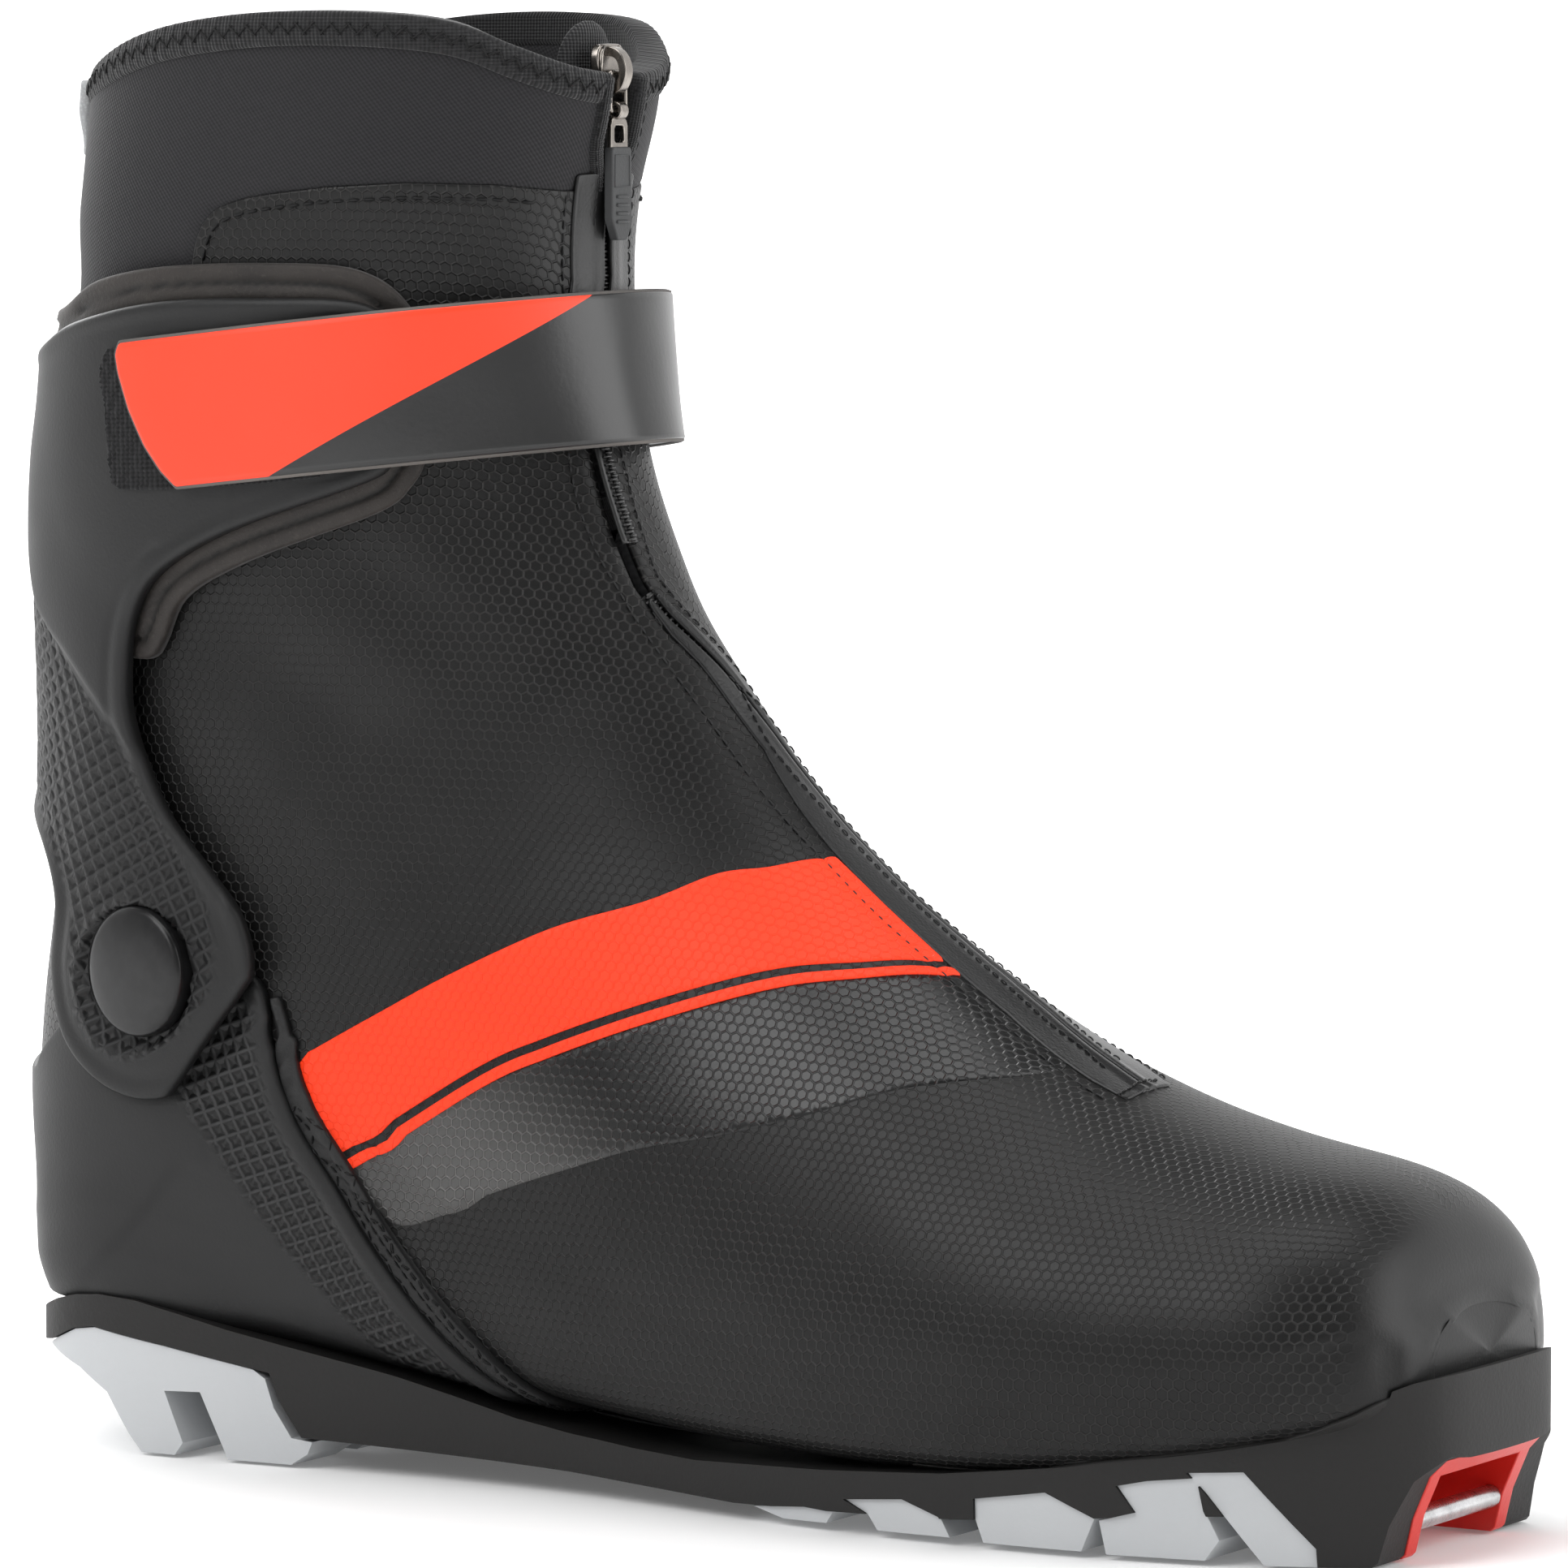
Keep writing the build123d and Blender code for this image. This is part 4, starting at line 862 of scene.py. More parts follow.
def make_strap():
    s = Mat("strap_coated")
    ob = s.obj()
    q = s.attr("split")      # above 0 orange
    e = s.attr("edge")       # mm from the nearest long edge
    g = s.noise(ob, .9, 3); big = s.noise(ob, .05, 2)
    orange = s.mix(s.math("MULTIPLY", big, .5), srgb("#ff3814"), srgb("#ff401a"))
    black = s.mix(s.math("MULTIPLY", big, .5), (.010, .010, .0102, 1), (.018, .018, .0182, 1))
    m = s.ramp(q, -.06, .06)
    col = s.mix(m, black, orange)
    back = s.attr("back")
    col = s.mix(back, col, (.018, .018, .019, 1))
    rough = s.mixf(m, .30, .50)
    nb = s.bump(s.math("ADD", s.math("MULTIPLY", g, .5), s.ramp(e, .4, 1.1, 0, 1.0)), .05)
    return s.base(col, rough, spec=.5, normal=nb)


M_STRAP = make_strap()
M_STRAP_EDGE = make_soft("strap_edge", (.070, .066, .063), .75, 2.0, .5, .25, .06, hi=(.20, .18, .165))


def make_metal(name, col, rough, scratch=.12):
    s = Mat(name)
    ob = s.obj()
    n1 = s.noise(s.vmath("MULTIPLY", ob, (.3, 4.0, .3)), .8, 4); n2 = s.noise(ob, .25, 3)
    cc = s.mix(s.ramp(n2, .3, .7), c4(col), c4(tuple(x * .72 for x in col)))
    nb = s.bump(n1, .01)
    return s.base(cc, s.mixf(n1, rough, rough + scratch), metal=1.0, normal=nb)


M_STEEL = make_metal("bar_steel", (.62, .62, .63), .22)
M_GUN = make_metal("slider_gunmetal", (.30, .275, .25), .20)
M_PIN = make_metal("pivot_steel", (.42, .42, .43), .28)


def make_gloss():
    s = Mat("cap_gloss")
    ob = s.obj()
    g = s.noise(ob, .35, 4); sc = s.noise(s.vmath("MULTIPLY", ob, (6, 1, .4)), .5, 3)
    col = s.mix(s.ramp(g, .35, .7), (.0065, .0065, .0068, 1), (.011, .011, .0115, 1))
    return s.base(col, s.mixf(s.ramp(sc, .45, .7), .28, .38), spec=.30, coat=.05, coat_rough=.2, normal=s.bump(g, .02))


M_CAP = make_gloss()


def make_reflective():
    s = Mat("tab_reflective")
    ob = s.obj()
    v = s.voronoi(ob, 2.2, "F1"); g = s.noise(ob, .3, 3)
    col = s.mix(s.ramp(v, .1, .6), (.40, .41, .42, 1), (.30, .305, .31, 1))
    col = s.mix(s.math("MULTIPLY", g, .3), col, (.42, .43, .44, 1))
    return s.base(col, .42, spec=.6, normal=s.bump(v, .05))


M_REFL = make_reflective()


# ------------------------------------------------------------------ shared shapes of this boot
PIV = np.array([45.0, 90.0])


def XZ(P):
    return P[..., [0, 2]]


def lerp_tab(pts):
    a = np.array(sorted(pts), float)
    return lambda t: np.interp(t, a[:, 0], a[:, 1])


# across-the-front places of the closure, by station
YG = lerp_tab([(60, -2.2), (72, -2), (80, 0), (97, 3.6), (110, 4.9), (130, 5.6), (150, 6.4), (165, 5.6), (184, 3.2), (197, 0), (213, -3.6), (228, -6.8), (241, -8.8), (258, -9.2), (280, -8.4), (300, -6), (322, -2), (338, 0), (500, 0)])
YE = lerp_tab([(60, -10), (78, -9.8), (88, -8.4), (100, -6.3), (112, -5.7), (132, -4.6), (150, -4.2), (165, -3.6), (181, -2.4), (196, -4.6), (210, -6.2), (222, -8.2), (232, -9.2), (260, -9.4), (300, -6), (338, -.2), (500, -.2)])
YA = lerp_tab([(60, -13), (73, -12.8), (80, -12.2), (87, -11.1), (98, -9.2), (114, -8.4), (131, -7.9), (152, -7.2), (172, -8.2), (188, -8.9), (206, -10.2), (228, -11.4), (244, -12.6), (256, -13.8), (269, -14.1), (282, -13.8), (300, -12.5), (335, -11), (400, -11)])
YB = lerp_tab([(60, -4.6), (78, -4.0), (86, -1.4), (94, -.6), (105, 1.0), (117, 2.0), (129, 2.6), (150, 2.7), (161, 2.2), (170, .6), (181, -.8)])
T_ZIP = 73.0


def th_at(t, y):
    """Angle of the surface point of station t that lies y across the front."""
    p = station(np.asarray(t, float))
    w = (np.asarray(y, float) - p[..., 6])
    W = np.where(w >= 0, p[..., 5], p[..., 4])
    c = np.sign(w) * np.clip(np.abs(w) / W, 0, 1) ** (p[..., 8] / 2)
    return np.arccos(c)


def bump_line(q, a, b, width, amp):
    """Soft ridge along a segment of the side view."""
    a, b = np.array(a, float), np.array(b, float)
    d = b - a
    u = np.clip(((q - a) @ d) / (d @ d), 0, 1)
    r = np.linalg.norm(q - a - u[..., None] * d, axis=-1)
    return amp * np.exp(-(r / width) ** 2) * (.35 + .65 * np.sin(pi * np.clip(u, .02, .98)))


def relief(P, T, TH):
    """Soft folds of the fabric, in mm."""
    q = XZ(P)
    side = sst(np.abs(P[..., 1]), 4, 16)
    lat = (P[..., 1] < 0)
    h = bump_line(q, (66, 163), (104, 138), 9, 1.0) + bump_line(q, (70, 150), (118, 112), 12, -.9) + bump_line(q, (92, 172), (124, 140), 7, .7)
    h = h + bump_line(q, (62, 138), (96, 104), 9, .5) + bump_line(q, (84, 168), (110, 150), 6, -.5)
    h = h * np.where(lat, 1.0, .8)
    n = noise2(q[..., 0] / 23 + 3.1, q[..., 1] / 19 + 7.7) * .5 + noise2(q[..., 0] / 9 + 1.3, q[..., 1] / 11 + 2.2) * .16
    keep_in = sst(T, 20, 70) * (1 - sst(T, 352, 376))
    # raised edges along the closure where two layers meet
    y = P[..., 1]
    front = np.sin(TH) > 0
    fold = np.where(front & (T > 66), .55 * np.exp(-((y - YG(T) + 3.2) / 3.0) ** 2) + .65 * np.exp(-((y - YG(T) - 3.2) / 2.6) ** 2), 0) * sst(T, 70, 110)
    seam = np.where(front & (T > 70) & (T < 372), -.28 * np.exp(-((y - YA(T)) / .55) ** 2) + .16 * np.exp(-((y - YA(T) - 1.5) / 1.2) ** 2), 0)
    return (h * side + n) * keep_in + fold + seam


# outlines in the side view
OVP = np.array([(150, 243), (125, 229.5), (117, 231.0), (110, 232.2), (97, 232.6), (83, 231.8), (72, 230.6), (64.7, 229.4), (59.5, 227.6), (56.6, 224.6), (55.2, 221), (53.8, 214), (52.0, 205), (44, 180), (30, 150), (20, 132), (-20, 120), (-20, -20), (340, -20), (340, 243)], float)
CUFF = smooth_poly([(-14, 122), (-14, 156), (-14, 190), (-10, 196), (2, 199.5), (18.7, 204), (30.8, 208), (52, 211.5), (75, 211.5), (88, 210.3), (93.5, 206.5), (95.5, 199), (95.5, 186), (94.0, 181), (89.5, 177.5),
             (67.8, 170.9), (56.0, 166.0), (48.5, 161.0), (44.4, 154), (43.4, 145), (44.6, 136), (51.6, 120.6), (60.8, 109.3), (67.5, 101), (70.0, 91), (66.5, 79.8), (58.3, 71.5), (47.4, 68.5), (36.5, 71.5),
             (27.5, 79.5), (24.0, 91.2), (24.4, 104), (19.0, 113.5), (9.5, 119.5), (0, 121.5)], 6)
PADP = smooth_poly([(-14, 150), (-14, 175), (-14, 198), (-8, 206), (4, 208.5), (20, 210), (32.4, 214.8), (50, 217.5), (73.1, 218.0), (88.4, 216.5), (96.5, 210), (99.0, 199), (99.0, 184), (96.5, 177.5), (90.3, 172.6),
            (67.0, 164.6), (53.5, 158), (49.0, 150.5), (46.2, 147.2), (40.0, 147), (20, 149)], 6)
_TF = [(71.4, 90.6), (73.2, 86.4), (74.9, 81.4), (76.5, 76.0), (79.0, 69.6), (81.8, 64.8), (85.5, 60.0), (89.0, 55.6), (94.8, 47.6), (100.5, 40.8), (106.2, 34.6), (111.5, 29.2), (116.9, 23.9), (124, 17), (134, 8)]
TRIM_FRONT = smooth_poly(_TF, 5, False)


def _beside(pts, d):
    """Line moved d towards the heel."""
    a = np.array(pts, float); t = np.gradient(a, axis=0); t /= np.linalg.norm(t, axis=1, keepdims=True)
    return a + np.stack([t[:, 1], -t[:, 0]], 1) * np.broadcast_to(np.asarray(d, float).reshape(-1, 1) if np.ndim(d) else np.full((1, 1), float(d)), (len(a), 1))


TRIM = smooth_poly(_TF + [tuple(p) for p in _beside(_TF, np.concatenate([[.9, 1.9, 3.4, 4.4], np.full(len(_TF) - 4, 4.8)]))[::-1]], 5)
CUPP = smooth_poly([(-12, 16), (-12, 71.0), (8, 70.0), (14, 74), (26, 84), (32, 98), (44, 105), (56, 101), (62, 92), (66.8, 90.5), (69.6, 88.6), (71.0, 84.6)] + [tuple(p) for p in _beside(_TF, 4.0)[3:]] + [(60, -20)], 6)
HOOKP = smooth_poly([(40.5, 203.0), (60, 204.5), (84, 205.5), (90, 205.2), (90, 181.2), (84, 179.0), (58, 178.0), (43.5, 178.2), (41.2, 181), (40.2, 192)], 3)
FEATHER = np.array([(-8, 20.5), (3, 22.2), (8.2, 23.8), (15.4, 26.3), (21, 27.7), (27.5, 28.4), (36.2, 28.0), (45.3, 26.3), (56.5, 23.9), (68.3, 21.8), (80, 19.9), (92, 17.9), (104.5, 15.3), (118, 12.4), (130, 10.8), (145, 9.6), (159, 9.0), (188, 10.3),
           (213, 12.0), (237, 15.0), (252, 17.4), (268, 20.8), (276, 23.6), (285, 27.3), (294, 31.3), (303, 33.5)], float)


def rim_z(x, dz=0.0):
    a = smooth_poly([(-30, 244), (-8, 247), (12, 250), (40, 259), (62, 262.6), (84, 263.5), (104, 262), (114, 257.5), (124, 251), (150, 233)], 6, False)
    return np.interp(x, a[:, 0], a[:, 1]) + dz


def rim_t(th, dz=0.0, off=0.0):
    """Station at which the surface reaches the rim, by angle."""
    th = np.asarray(th, float)
    lo, hi = np.full(th.shape, 340.0), np.full(th.shape, K[-1])
    for _ in range(30):
        m = (lo + hi) / 2
        P = S(m, th, off)
        up = P[..., 2] > rim_z(P[..., 0], dz)
        hi = np.where(up, m, hi); lo = np.where(up, lo, m)
    return (lo + hi) / 2


def level(P):
    """How far up the leg a point is, along the ankle's own slant."""
    return -.243 * P[..., 0] + .97 * P[..., 2]


LV = lambda x, z: -.243 * x + .97 * z


def front_gap(P, T, TH, half, t_end=T_ZIP):
    """Distance outside the closure's gap."""
    f = np.hypot(P[..., 1] - YG(T), np.minimum(T - t_end, 0)) - half
    return np.where(np.sin(TH) > 0.2, f, 60.0)


def surf_path(ts, ths, off):
    P = S(np.asarray(ts, float), np.asarray(ths, float), off)
    return P, N(np.asarray(ts, float), np.asarray(ths, float), off)


def off_path(ts, ths, hfun):
    """Path on a raised surface, hfun gives its height."""
    P0 = S(ts, ths, 0.0)
    h = hfun(P0, ts, ths)
    return S(ts, ths, h) + seat(P0), N(ts, ths, 0.0)


def contour(dfun, lev, t0, t1, th0, th1, step=1.2):
    """Longest line of points (t, angle) where dfun equals lev."""
    nt = int((t1 - t0) / step) + 1
    T = np.linspace(t0, t1, nt); TH = np.linspace(th0, th1, max(40, int((th1 - th0) * 42 / step)))
    GT, GH = np.meshgrid(T, TH, indexing="ij")
    v = dfun(S(GT, GH), GT, GH) - lev
    segs = []
    ni, nj = v.shape
    key = {}
    pts = []

    def pt(i0, j0, i1, j1):
        k = (i0, j0, i1, j1)
        if k not in key:
            a, b = v[i0, j0], v[i1, j1]
            w = a / (a - b)
            key[k] = len(pts)
            pts.append((T[i0] + (T[i1] - T[i0]) * w, TH[j0] + (TH[j1] - TH[j0]) * w))
        return key[k]
    s = v >= 0
    cells = np.argwhere((s[:-1, :-1] != s[1:, :-1]) | (s[:-1, :-1] != s[:-1, 1:]) | (s[1:, 1:] != s[:-1, 1:]) | (s[1:, 1:] != s[1:, :-1]))
    for i, j in cells:
        e = []
        if s[i, j] != s[i + 1, j]: e.append(pt(i, j, i + 1, j))
        if s[i + 1, j] != s[i + 1, j + 1]: e.append(pt(i + 1, j, i + 1, j + 1))
        if s[i, j + 1] != s[i + 1, j + 1]: e.append(pt(i, j + 1, i + 1, j + 1))
        if s[i, j] != s[i, j + 1]: e.append(pt(i, j, i, j + 1))
        for a in range(0, len(e) - 1, 2):
            segs.append((e[a], e[a + 1]))
    nb = {}
    for a, b in segs:
        nb.setdefault(a, []).append(b); nb.setdefault(b, []).append(a)
    seen = set(); lines = []
    starts = [k for k in nb if len(nb[k]) == 1] + list(nb)
    for s0 in starts:
        if s0 in seen:
            continue
        L = [s0]; seen.add(s0); cur = s0
        while True:
            n_ = [x for x in nb[cur] if x not in seen]
            if not n_:
                break
            cur = n_[0]; seen.add(cur); L.append(cur)
        lines.append(np.array([pts[x] for x in L]))
    lines.sort(key=len, reverse=True)
    return lines


def line_on(dfun, lev, t0, t1, th0, th1, hfun, name, mat, **kw):
    """Stitches along the line dfun == lev."""
    out = []
    for k, L in enumerate(contour(dfun, lev, t0, t1, th0, th1)[:kw.pop("lines", 1)]):
        P, n_ = off_path(L[:, 0], L[:, 1], hfun)
        Q = resample(P, 1.0)
        s = np.linspace(0, 1, len(P)); s2 = np.linspace(0, 1, len(Q))
        nn = np.stack([np.interp(s2, s, n_[:, i]) for i in range(3)], 1)
        o = stitches(name + ("" if k == 0 else "_%d" % k), Q, nn, mat, **kw)
        if o is not None:
            out.append(o)
    return out


PIECES = []      # (object, body, slot, replaced nodes)


def add(o, body, slot=None, rep=()):
    PIECES.append((o, body, slot, rep))
    return o


def join(name, objs):
    """One object from several."""
    objs = [o for o in objs if o is not None]
    if not objs:
        return None
    bpy.ops.object.select_all(action="DESELECT")
    for o in objs:
        o.select_set(True)
    bpy.context.view_layer.objects.active = objs[0]
    if len(objs) > 1:
        bpy.ops.object.join()
    objs[0].name = name
    return objs[0]


TWO = (-pi / 2, 1.5 * pi)

# ------------------------------------------------------------------ upper with its honeycomb cover
def d_upper(P, T, TH):
    d = poly_sdf(XZ(P), OVP)
    return np.minimum(d, front_gap(P, T, TH, 1.1))


def h_upper(P, T, TH, d=None):
    return relief(P, T, TH)


upper = patch("upper", d_upper, h_upper, lambda P, T, TH, d: relief(P, T, TH) * .5 - 1.0, 0, 400, *TWO, step=1.7, rim=.45, wrap=True, mat=M_UPPER)
add(upper, "blend", "upper_hex", ("vamp_cover", "shaft_cover", "ankle_gusset"))

# the flat nose of the upper
n0 = 60
ths = np.linspace(-pi / 2, 1.5 * pi, n0, endpoint=False)
ring0 = S(np.zeros(n0) + .4, ths, 0.0)
ring0 = ring0 + seat(ring0)
c0 = ring0.mean(0)
V, F = [], []
for k, sc in enumerate((1.0, .9, .75, .55, .33, .12)):
    r = c0 + (ring0 - c0) * sc
    r[:, 0] = ring0[:, 0] * sc + c0[0] * (1 - sc) + 1.1 * (1 - sc ** 2)
    V.append(r)
V = np.concatenate(V + [c0[None] + np.array([[1.12, 0, 0]])])
for k in range(5):
    for i in range(n0):
        j = (i + 1) % n0
        F.append((k * n0 + i, (k + 1) * n0 + i, (k + 1) * n0 + j, k * n0 + j))
for i in range(n0):
    F.append((5 * n0 + i, 6 * n0, 5 * n0 + (i + 1) % n0))
nose = new_object("upper_nose", V, F, M_UPPER, uvs=np.stack([V[:, 1] + 300, V[:, 2]], 1))
add(nose, "foot", "upper_hex", ())

# ------------------------------------------------------------------ rubber rand that carries the sole up round the toe
RAND_X = [223.7, 245.2, 261.0, 274.4, 281.3, 286.8, 291.8]
RAND_Z = [12.8, 16.7, 19.3, 21.7, 24.1, 26.6, 29.8]


def d_rand(P, T, TH):
    x, z = P[..., 0], P[..., 2]
    lat = np.interp(x, RAND_X, RAND_Z)
    fz = np.interp(x, FEATHER[:, 0], FEATHER[:, 1])
    return np.minimum(lat - z, np.minimum(z - fz + 7.0, x - 205.0))


rand = patch("toe_rand", d_rand, lambda P, T, TH, d: relief(P, T, TH) + .16 + .30 * sst(P[..., 0], 205, 240), lambda P, T, TH, d: relief(P, T, TH) - .3, 4, 130, *TWO, step=1.2, rim=.16, rings=2, wrap=True, mat=M_SOLE)
add(rand, "foot", "sole_rubber")

# stitching of the cover: top edge of the leg part and along the closure
st = line_on(lambda P, T, TH: poly_sdf(XZ(P), OVP), 2.6, 330, 396, pi / 2 + .34, pi + .75, h_upper, "stitch_cover_top", M_THREAD_G, pitch=2.9, length=2.1, r=.3, lift=.05)
st += line_on(lambda P, T, TH: poly_sdf(XZ(P), OVP), 2.6, 330, 396, -.75, pi / 2 - .34, h_upper, "stitch_cover_top_m", M_THREAD_G, pitch=2.9, length=2.1, r=.3, lift=.05)
for o in st:
    add(o, "cuff", "upper_hex")
for sgn, nm in ((1, "l"), (-1, "m")):
    ts = np.arange(74, 372, 1.5)
    ya = YA(ts) if sgn > 0 else 2 * YG(ts) - YA(ts)
    P, n_ = off_path(ts, th_at(ts, ya), h_upper)
    o = stitches("stitch_closure_" + nm, P, n_, M_THREAD, pitch=2.3, length=1.7, r=.2, lift=.1)
    add(o, "blend", "upper_hex")


# ------------------------------------------------------------------ printed band and gloss panel
def uvp(pts):
    a = np.array(pts, float)
    th = np.radians(a[:, 1])
    return unfold(a[:, 0], th, np.cos(th) > 0)


def U(T, TH):
    return unfold(T, TH, np.cos(TH) > 0)


top_edge = [(238, 187), (233, 182), (222, 172), (212, 162), (197, 149), (180, 136), (168, 123), (159, 114), (153, 104), (150, 97)]
bot_edge = [(113, 97.5), (117, 104), (127, 116.5), (140, 128), (155, 140), (173, 153), (184, 161), (194, 169), (211, 184), (217, 190)]
BAND_T = smooth_poly(uvp(top_edge), 6, False)
BAND_B = smooth_poly(uvp(bot_edge), 6, False)
BAND = np.vstack([BAND_T, BAND_B])


def mirror_th(TH):
    return np.where(np.cos(TH) > 0, pi - TH, TH)


def U_lat(T, TH):
    """Unfolded place as if on the outer side, so that one outline serves both sides."""
    th = np.mod(TH + pi / 2, 2 * pi) - pi / 2
    th = np.where(np.cos(th) > 0, pi - th, th)
    return unfold(T, th, np.zeros(np.shape(T), bool) & (np.asarray(T) < 0))


def side_gate(TH, lateral):
    return np.where((np.cos(TH) < 0) == lateral, 50.0, -5.0)


def d_band(P, T, TH):
    q = U_lat(T, TH)
    d = poly_sdf(q, BAND)
    lat = np.cos(TH) < 0
    yy = P[..., 1]
    edge = np.where(lat, YE(T) - yy, yy - (2 * YG(T) - YE(T)))
    edge = np.where(np.sin(TH) > .5, edge, 60.0)
    f, _ = line_dist(XZ(P), TRIM_FRONT)
    return np.minimum(d, f + 2.6), edge


def d_main(P, T, TH):
    d, edge = d_band(P, T, TH)
    lo, _ = line_dist(U_lat(T, TH), BAND_B)
    lo = np.abs(lo)
    return np.minimum(np.minimum(d, lo - 3.6), edge + .2)


def d_stripe(P, T, TH):
    d, edge = d_band(P, T, TH)
    lo, _ = line_dist(U_lat(T, TH), BAND_B)
    lo = np.abs(lo)
    return np.minimum(np.minimum(d, 2.05 - lo), edge + 3.0)


def h_film(k):
    return lambda P, T, TH, d=None: relief(P, T, TH) + k


for lat, (a, b) in ((True, (pi / 2, pi + .25)), (False, (-.25, pi / 2))):
    nm = "lateral" if lat else "medial"
    o = patch("band_" + nm, d_main, h_film(.30), h_film(-.3), 104, 240, a, b, step=1.0, rim=.14, rings=1, mat=M_ORANGE, inner=True)
    add(o, "blend", "band_orange")
    o = patch("band_stripe_" + nm, lambda P, T, TH: np.minimum(d_stripe(P, T, TH), 50), h_film(.32), h_film(-.3), 104, 240, a, b, step=.7, rim=.12, rings=1, mat=M_ORANGE, inner=True)
    add(o, "blend", "band_orange")

PANEL = smooth_poly(uvp([(113.5, 97), (104, 98), (92, 99), (84, 102), (88, 112), (97, 122), (110, 133), (124, 144), (142, 155), (158, 163), (170, 170), (184, 179), (197, 186), (204, 186), (211, 183), (194, 169), (173, 153), (155, 140), (140, 128), (127, 116.5), (117, 104)]), 5)


def d_panel(P, T, TH):
    d, edge = d_band(P, T, TH)
    return np.minimum(poly_sdf(U_lat(T, TH), PANEL), edge + 2.2)


def panel_fade(P, T, TH, d):
    q = U_lat(T, TH)
    # pale print near the back, in a slanted wedge, fading to black towards the closure
    a = (q[:, 0] - 118) * .93 + (q[:, 1] - 66) * .36
    b = -(q[:, 0] - 118) * .40 + (q[:, 1] - 66) * .92
    w = (1 - sst(a + .75 * b, -8, 26)) * (.35 + .65 * sst(a, -44, -6))
    return w


for lat, (a, b) in ((True, (pi / 2, pi + .4)), (False, (-.4, pi / 2))):
    o = patch("gloss_panel_" + ("lateral" if lat else "medial"), d_panel, h_film(.10), h_film(-.3), 74, 226, a, b, step=1.4, rim=.1, rings=1, mat=M_PANEL, inner=True, attrs={"fade": panel_fade})
    add(o, "blend", "upper_hex")


# ------------------------------------------------------------------ lining of foot and ankle
def d_lining(P, T, TH):
    return np.minimum(136.5 - level(P), front_gap(P, T, TH, 2.0))


o = patch("lining", d_lining, -2.25, -4.9, 3, 300, *TWO, step=3.0, rim=.8, rings=2, wrap=True, mat=M_LINING)
add(o, "blend", "lining", ("vamp_lining", "quarter_lining"))


# ------------------------------------------------------------------ collar
def slit_half(P):
    return 1.6 + 2.8 * sst(P[..., 2], 232, 241)


def d_collar(P, T, TH):
    z = P[..., 2]
    return np.minimum(np.minimum(rim_z(P[..., 0], -5.0) - z, level(P) - 138.5), front_gap(P, T, TH, 0.0) - slit_half(P))


def h_collar(P, T, TH, d=None):
    q = XZ(P)
    z = P[..., 2]
    back = sst(-(P[..., 0] - 70), 0, 60)
    # soft fullness between the pad and the hem, easing in under the cover
    h = -1.0 + 1.35 * sst(z, 212, 228) * (1 - .55 * sst(z, 244, 262)) * (.55 + .45 * back)
    inside_cover = sst(poly_sdf(q, OVP), -1.2, 1.6)
    h = h * (1 - inside_cover) - 1.15 * inside_cover
    h = h + (noise2(q[..., 0] / 17 + 5, q[..., 1] / 15) * .35) * (1 - inside_cover)
    return h


collar = patch("collar", d_collar, h_collar, -4.9, 270, 428, *TWO, step=1.7, rim=.8, wrap=True, mat=M_NEO)
add(collar, "cuff", "collar_neoprene", ("collar",))


# hem: a folded band with a puffed, finely ribbed face
def d_hem(P, T, TH):
    z = P[..., 2]; x = P[..., 0]
    return np.minimum(np.minimum(rim_z(x, -.4) - z, z - rim_z(x, -6.6)), front_gap(P, T, TH, 0.0) - slit_half(P) + .2)


def h_hem(P, T, TH, d=None):
    x, z = P[..., 0], P[..., 2]
    v = (z - rim_z(x, -3.5)) / 3.1
    h = -.55 + 1.35 * np.sqrt(np.clip(1 - v ** 2, 0, 1))
    ths = np.asarray(TH)
    s = ths * 41.0
    return h + .10 * np.sin(s * 2 * pi / 1.9)


hem = patch("hem", d_hem, h_hem, lambda P, T, TH, d: -5.0 + 0 * T, 384, 430, *TWO, step=.8, step_th=.62, rim=.9, rings=4, wrap=True, mat=M_HEM)
add(hem, "cuff", "hem_knit", ("collar_binding",))
th_l = th_at(np.array([415.0]), np.array([-6.0]))[0]
ths = np.linspace(th_l + .03, 2 * pi + (pi - th_l) - .03, 700)
ts = rim_t(ths, -3.5)
P, n_ = off_path(ts, ths, h_hem)
o = stitches("stitch_hem", P, n_, M_THREAD_G, pitch=1.75, length=2.5, r=.21, lift=.06, zig=1.15)
add(o, "cuff", "hem_knit")

# rolled bindings down both edges of the opening
for sgn, nm in ((-1, "lateral"), (1, "medial")):
    ts = np.arange(356, rim_t(np.array([th_at(np.array([415.0]), np.array([sgn * 5.8]))[0]]), -.6)[0], .8)
    Pz = S(ts, th_at(ts, YG(ts)), 0.0)
    hw = slit_half(Pz) + 1.6
    th_ = th_at(ts, YG(ts) + sgn * hw)
    C = S(ts, th_, -1.1)
    r = 2.15 * (1 + .045 * np.sin(ts * 2 * pi / 1.7)) * (.35 + .65 * sst(ts, 356, 372))
    V, F = tube("", C, 1.0, sides=16, flat=.86, taper=r)
    o = new_object("opening_binding_" + nm, V, F, M_HEM, uvs=np.stack([np.repeat(ts, 16), np.tile(np.arange(16) * .8, len(ts))], 1))
    add(o, "cuff", "hem_knit")
    n_ = N(ts, th_, 0.0)
    side = np.array([0, sgn * 1.0, 0])
    P = C + n_ * 1.55 + side * 1.0
    o = stitches("stitch_opening_" + nm, P, n_, M_THREAD, pitch=2.4, length=1.7, r=.17, lift=.22)
    add(o, "cuff", "hem_knit")

# ------------------------------------------------------------------ foam pad under the cuff
def d_pad(P, T, TH):
    return np.minimum(poly_sdf(XZ(P), PADP), 60)


